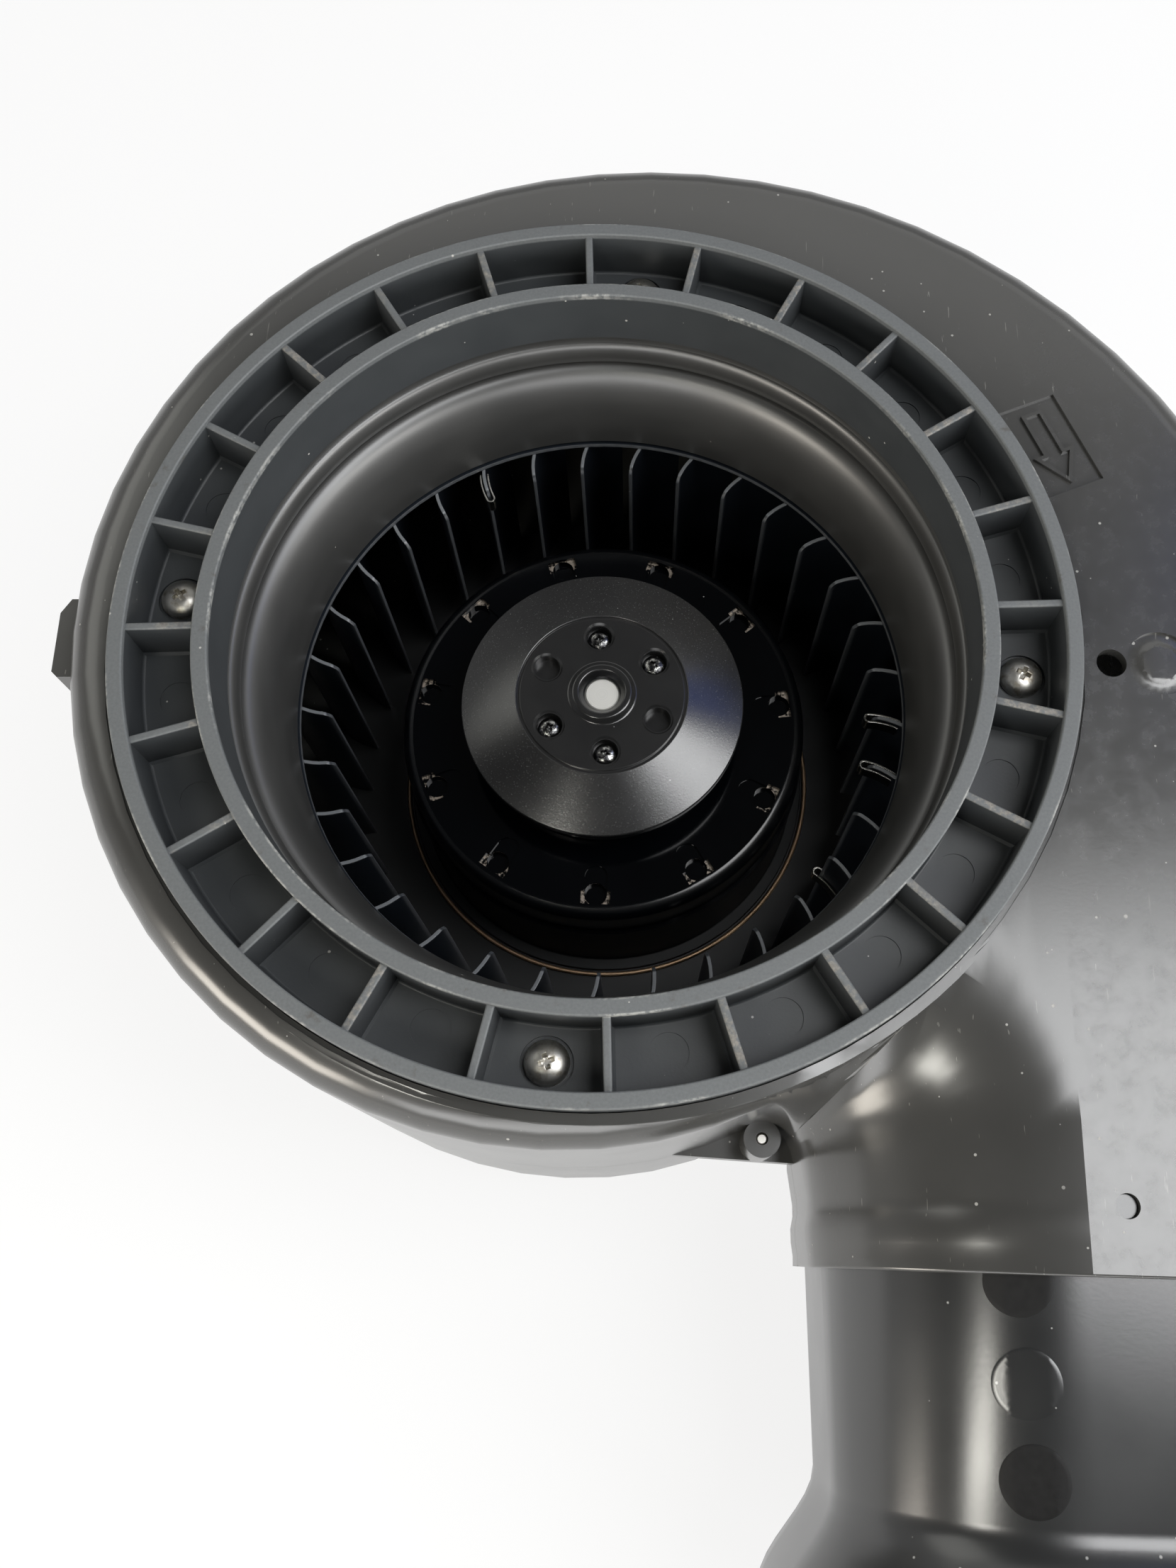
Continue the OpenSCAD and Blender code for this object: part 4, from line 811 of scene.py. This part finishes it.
# hub: a cone on an undercut foot, with a grooved disc, a boss round the shaft and six counterbores
hubCone = {"shaft": 5.0, "foot": 40.6, "footZ": -56.2, "footRound": 0.5, "brimZ": -58.6, "brimRound": 0.3,
           "wall": 36.5, "base": -68.0, "disc": 23.4, "discZ": -50.2, "discRound": 0.15,
           "groove": 0.7, "grooveDeep": 0.6, "grooveRound": 0.1, "lip": 0.3,
           "boss": 9.6, "bossFoot": 0.9, "bossTop": 8.3, "bossOutRound": 0.8, "bossIn": 6.7, "bossInRound": 0.5,
           "bossHigh": 1.5, "lead": 0.4, "leadTop": 0.3, "leadLow": 0.7,
           "bore": 3.7, "boreDeep": 3.5, "rim": 4.5, "rimDeep": 0.55, "shankGap": 0.1, "shankDeep": 20.0,
           "edge": 0.1, "edgeAngle": 60, "turns": 4, "steps": 180, "smooth": 25}


def makeHubCone():
    s = hubCone
    z, deep, high = s["discZ"], s["discZ"] - s["grooveDeep"], s["discZ"] + s["bossHigh"]
    groove = s["disc"] + s["groove"]
    profile = [(s["shaft"], s["base"], 0), (s["wall"], s["base"], 0), (s["wall"], s["brimZ"], s["brimRound"]),
               (s["foot"], s["brimZ"], s["brimRound"]), (s["foot"], s["footZ"], s["footRound"]),
               (groove + s["lip"], z, s["lip"]), (groove, deep, s["grooveRound"]),
               (s["disc"], deep, s["grooveRound"]), (s["disc"], z, s["discRound"]),
               (s["boss"], z, s["bossFoot"]), (s["bossTop"], high, s["bossOutRound"]),
               (s["bossIn"], high, s["bossInRound"]),
               (s["shaft"] + s["lead"], z - s["leadTop"], s["grooveRound"]), (s["shaft"], z - s["leadLow"], 0)]
    hub = lathe("hubCone", rounded(profile, s["turns"]), s["steps"])
    circle = hubScrew["circle"]
    sink(hub, [(circle, a, s["rim"], z, s["rimDeep"]) for a in hubBoreTurns])
    drill(hub, [(circle, a, s["bore"], z, s["boreDeep"]) for a in hubBoreTurns])
    drill(hub, [(circle, a, hubScrew["shank"] + s["shankGap"], z, s["shankDeep"]) for a in hubScrewTurns])
    softEdges(hub, s["edge"], s["edgeAngle"], 3)
    smoothed(hub, s["smooth"])
    dress(hub, hubPaint, "rotor", "hub_cone")


# dull brass ring round the bell's foot
footRing = {"radius": 65.9, "thick": 0.75, "z": -122.25, "sides": 12, "steps": 180, "smooth": 60}


def makeFootRing():
    s = footRing
    turns = [math.radians(360 / s["sides"] * k) for k in range(s["sides"])]
    ring = lathe("footRing", [(s["radius"] + s["thick"] * math.cos(a), s["z"] + s["thick"] * math.sin(a))
                              for a in turns], s["steps"])
    smoothed(ring, s["smooth"])
    dress(ring, agedBrass, "rotor", None)


# outlet duct: its upper half draws in a little more towards the flare
outletDuct = {"middleZ": -54.0, "high": 46.7, "fromY": -148.0, "toY": -203.0, "drop": 3.2, "smooth": 30}


def finishDuct(obj):
    s = outletDuct
    for v in obj.data.vertices:
        share = min(max((s["fromY"] - v.co.y / mm) / (s["fromY"] - s["toY"]), 0), 1)
        up = max(v.co.z / mm - s["middleZ"], 0) / s["high"]
        v.co.z -= s["drop"] * share * up * mm
    smoothed(obj, s["smooth"])
    return obj


# three bare moulded discs on top of the duct, laid on its curve
ductDiscs = {"radius": 7.2, "thick": 0.18, "edge": 0.06, "edgeAngle": 50, "above": 20.0, "sides": 64, "cuts": 6,
             "smooth": 30,
             "places": ((97.0, -152.8, "dark"), (98.0, -173.1, "same"), (98.9, -191.8, "dark"))}


def makeDuctDiscs(duct):
    s = ductDiscs
    for k, (x, y, kind) in enumerate(s["places"]):
        clearSelection()
        bpy.ops.mesh.primitive_circle_add(vertices=s["sides"], radius=s["radius"] * mm, fill_type="TRIFAN",
                                          location=(x * mm, y * mm, s["above"] * mm))
        disc = bpy.context.object
        disc.name = "ductDisc%d" % k
        settled(disc)
        inEdit(disc, selectAll, lambda: bpy.ops.mesh.subdivide(number_cuts=s["cuts"]))
        applyModifier(disc, "SHRINKWRAP", target=duct, wrap_method="PROJECT", use_project_z=True,
                      use_negative_direction=True)
        applyModifier(disc, "SOLIDIFY", thickness=s["thick"] * mm, offset=0.0)
        softEdges(disc, s["edge"], s["edgeAngle"])
        smoothed(disc, s["smooth"])
        dress(disc, markPlastic if kind == "dark" else ductPlastic, "housing", None)


# upper shell: the shoulder leans a little, so a soft crease shows where it meets the flat face, the bead on the
# outlet's collar is fuller, and the collar's end is rounded; where the shells meet, both have a rounded edge
upperShell = {"edgeX": 111.5, "edgeGap": 0.01, "wide": 54.5, "high": 50.0, "middleZ": -54.0, "lean": 8.5,
              "fromY": -118.0, "toY": -98.0, "startX": 57.0, "creaseNear": 0.3, "creaseZ": -5.5,
              "beadY": -141.7, "beadNear": 0.3, "beadLift": 0.9, "beadFade": 20.0, "endY": -151.2, "endRound": 0.6}
shellSeam = {"z": -76.0, "near": 0.3, "round": 0.35}
shellEdges = {"sharp": 50, "segments": 3, "smooth": 30}


def besideSeam(v):
    return abs(v.co.z / mm - shellSeam["z"]) < shellSeam["near"]


def roundCorners(obj, test, width):
    inEdit(obj, lambda: bpy.ops.mesh.select_all(action="DESELECT"),
           lambda: bpy.ops.mesh.edges_select_sharp(sharpness=math.radians(shellEdges["sharp"])))
    corner = [e.select for e in obj.data.edges]
    selectWhere(obj, "edges", lambda e: corner[e.index] and all(test(obj.data.vertices[k]) for k in e.vertices))
    inEdit(obj, lambda: bpy.ops.mesh.bevel(offset=width * mm, segments=shellEdges["segments"], affect="EDGES",
                                           clamp_overlap=True))


def finishUpperShell(obj):
    s = upperShell
    tall = s["high"] / math.sqrt(1 - (s["lean"] / (s["wide"] + s["lean"])) ** 2)
    for v in obj.data.vertices:
        x, y, up = v.co.x / mm, v.co.y / mm, v.co.z / mm - s["middleZ"]
        share = min(max((s["toY"] - y) / (s["toY"] - s["fromY"]), 0), 1)
        if share == 0 or up <= 0 or not s["startX"] < x < s["edgeX"] - s["edgeGap"]:
            continue
        if abs(y - s["beadY"]) < s["beadNear"]:
            v.co.z += s["beadLift"] * up / s["high"] * min(1, (s["edgeX"] - x) / s["beadFade"]) * mm
        scale = math.hypot((s["edgeX"] - x) / s["wide"], up / s["high"])
        across = min((s["edgeX"] - x) / scale, s["wide"])
        before = s["high"] * math.sqrt(1 - (across / s["wide"]) ** 2)
        after = tall * math.sqrt(max(0, 1 - ((across + s["lean"]) / (s["wide"] + s["lean"])) ** 2))
        v.co.z += scale * (after - before) * share * share * (3 - 2 * share) * mm

    def onCrease(v):
        return (abs(v.co.x / mm - s["edgeX"]) < s["creaseNear"] and v.co.y / mm < s["toY"]
                and v.co.z / mm > s["creaseZ"])

    selectWhere(obj, "edges", lambda e: all(onCrease(obj.data.vertices[k]) for k in e.vertices))
    inEdit(obj, lambda: bpy.ops.mesh.mark_sharp())
    roundCorners(obj, lambda v: v.co.y / mm < s["endY"], s["endRound"])
    finishSeam(obj)


def finishSeam(obj):
    roundCorners(obj, besideSeam, shellSeam["round"])
    smoothed(obj, shellEdges["smooth"])


makeInletRing()
makeInletNozzle()
makeRingScrews()
makeHubScrews()
print("ring, nozzle and screws made")
makeRotorBell()
makeHubCone()
makeFootRing()
print("rotor bell and hub made")

finishUpperShell(cadCopy("upper_scroll", "upperShell", shellPlastic, 30))
finishSeam(cadCopy("lower_scroll", "lowerShell", shellPlastic, 30))
makeDuctDiscs(finishDuct(cadCopy("outlet_duct", "outletDuct", ductPlastic, 30)))
# the other pieces in sight keep the solid's shape: node, name, finish, smoothing angle and edge
plain = (("impeller_blades", "impellerBlades", impellerPaint, 30, 0.2),
         ("impeller_back_plate", "impellerBackPlate", shadedPlatePaint, 30, 0.2),
         ("impeller_front_ring", "impellerFrontRing", impellerPaint, 30, 0.2),
         ("balance_clips", "balanceClips", springSteel, 30, 0.1),
         ("shaft", "shaftEnd", groundSteel, 30, 0.0),
         ("housing_screws", "housingScrews", nickel, 35, 0.0),
         ("motor_flange", "motorFlange", castPaint, 30, 0.3),
         ("flange_screws", "flangeScrews", nickel, 35, 0.0),
         ("lead_grommet", "leadGrommet", rubber, 30, 0.3))
for row in plain:
    cadCopy(*row)
# solids inside the motor only get a finish
inside = {"bearing_tube": groundSteel, "front_bearing": groundSteel, "rear_bearing": groundSteel,
          "stator_core": sheetStack, "stator_windings": copperWire, "rotor_core": sheetStack,
          "retaining_ring": blackSteel}
for name, finish in inside.items():
    cad[name].data.materials.clear()
    cad[name].data.materials.append(finish.material)
print("pieces dressed")

clearSelection()
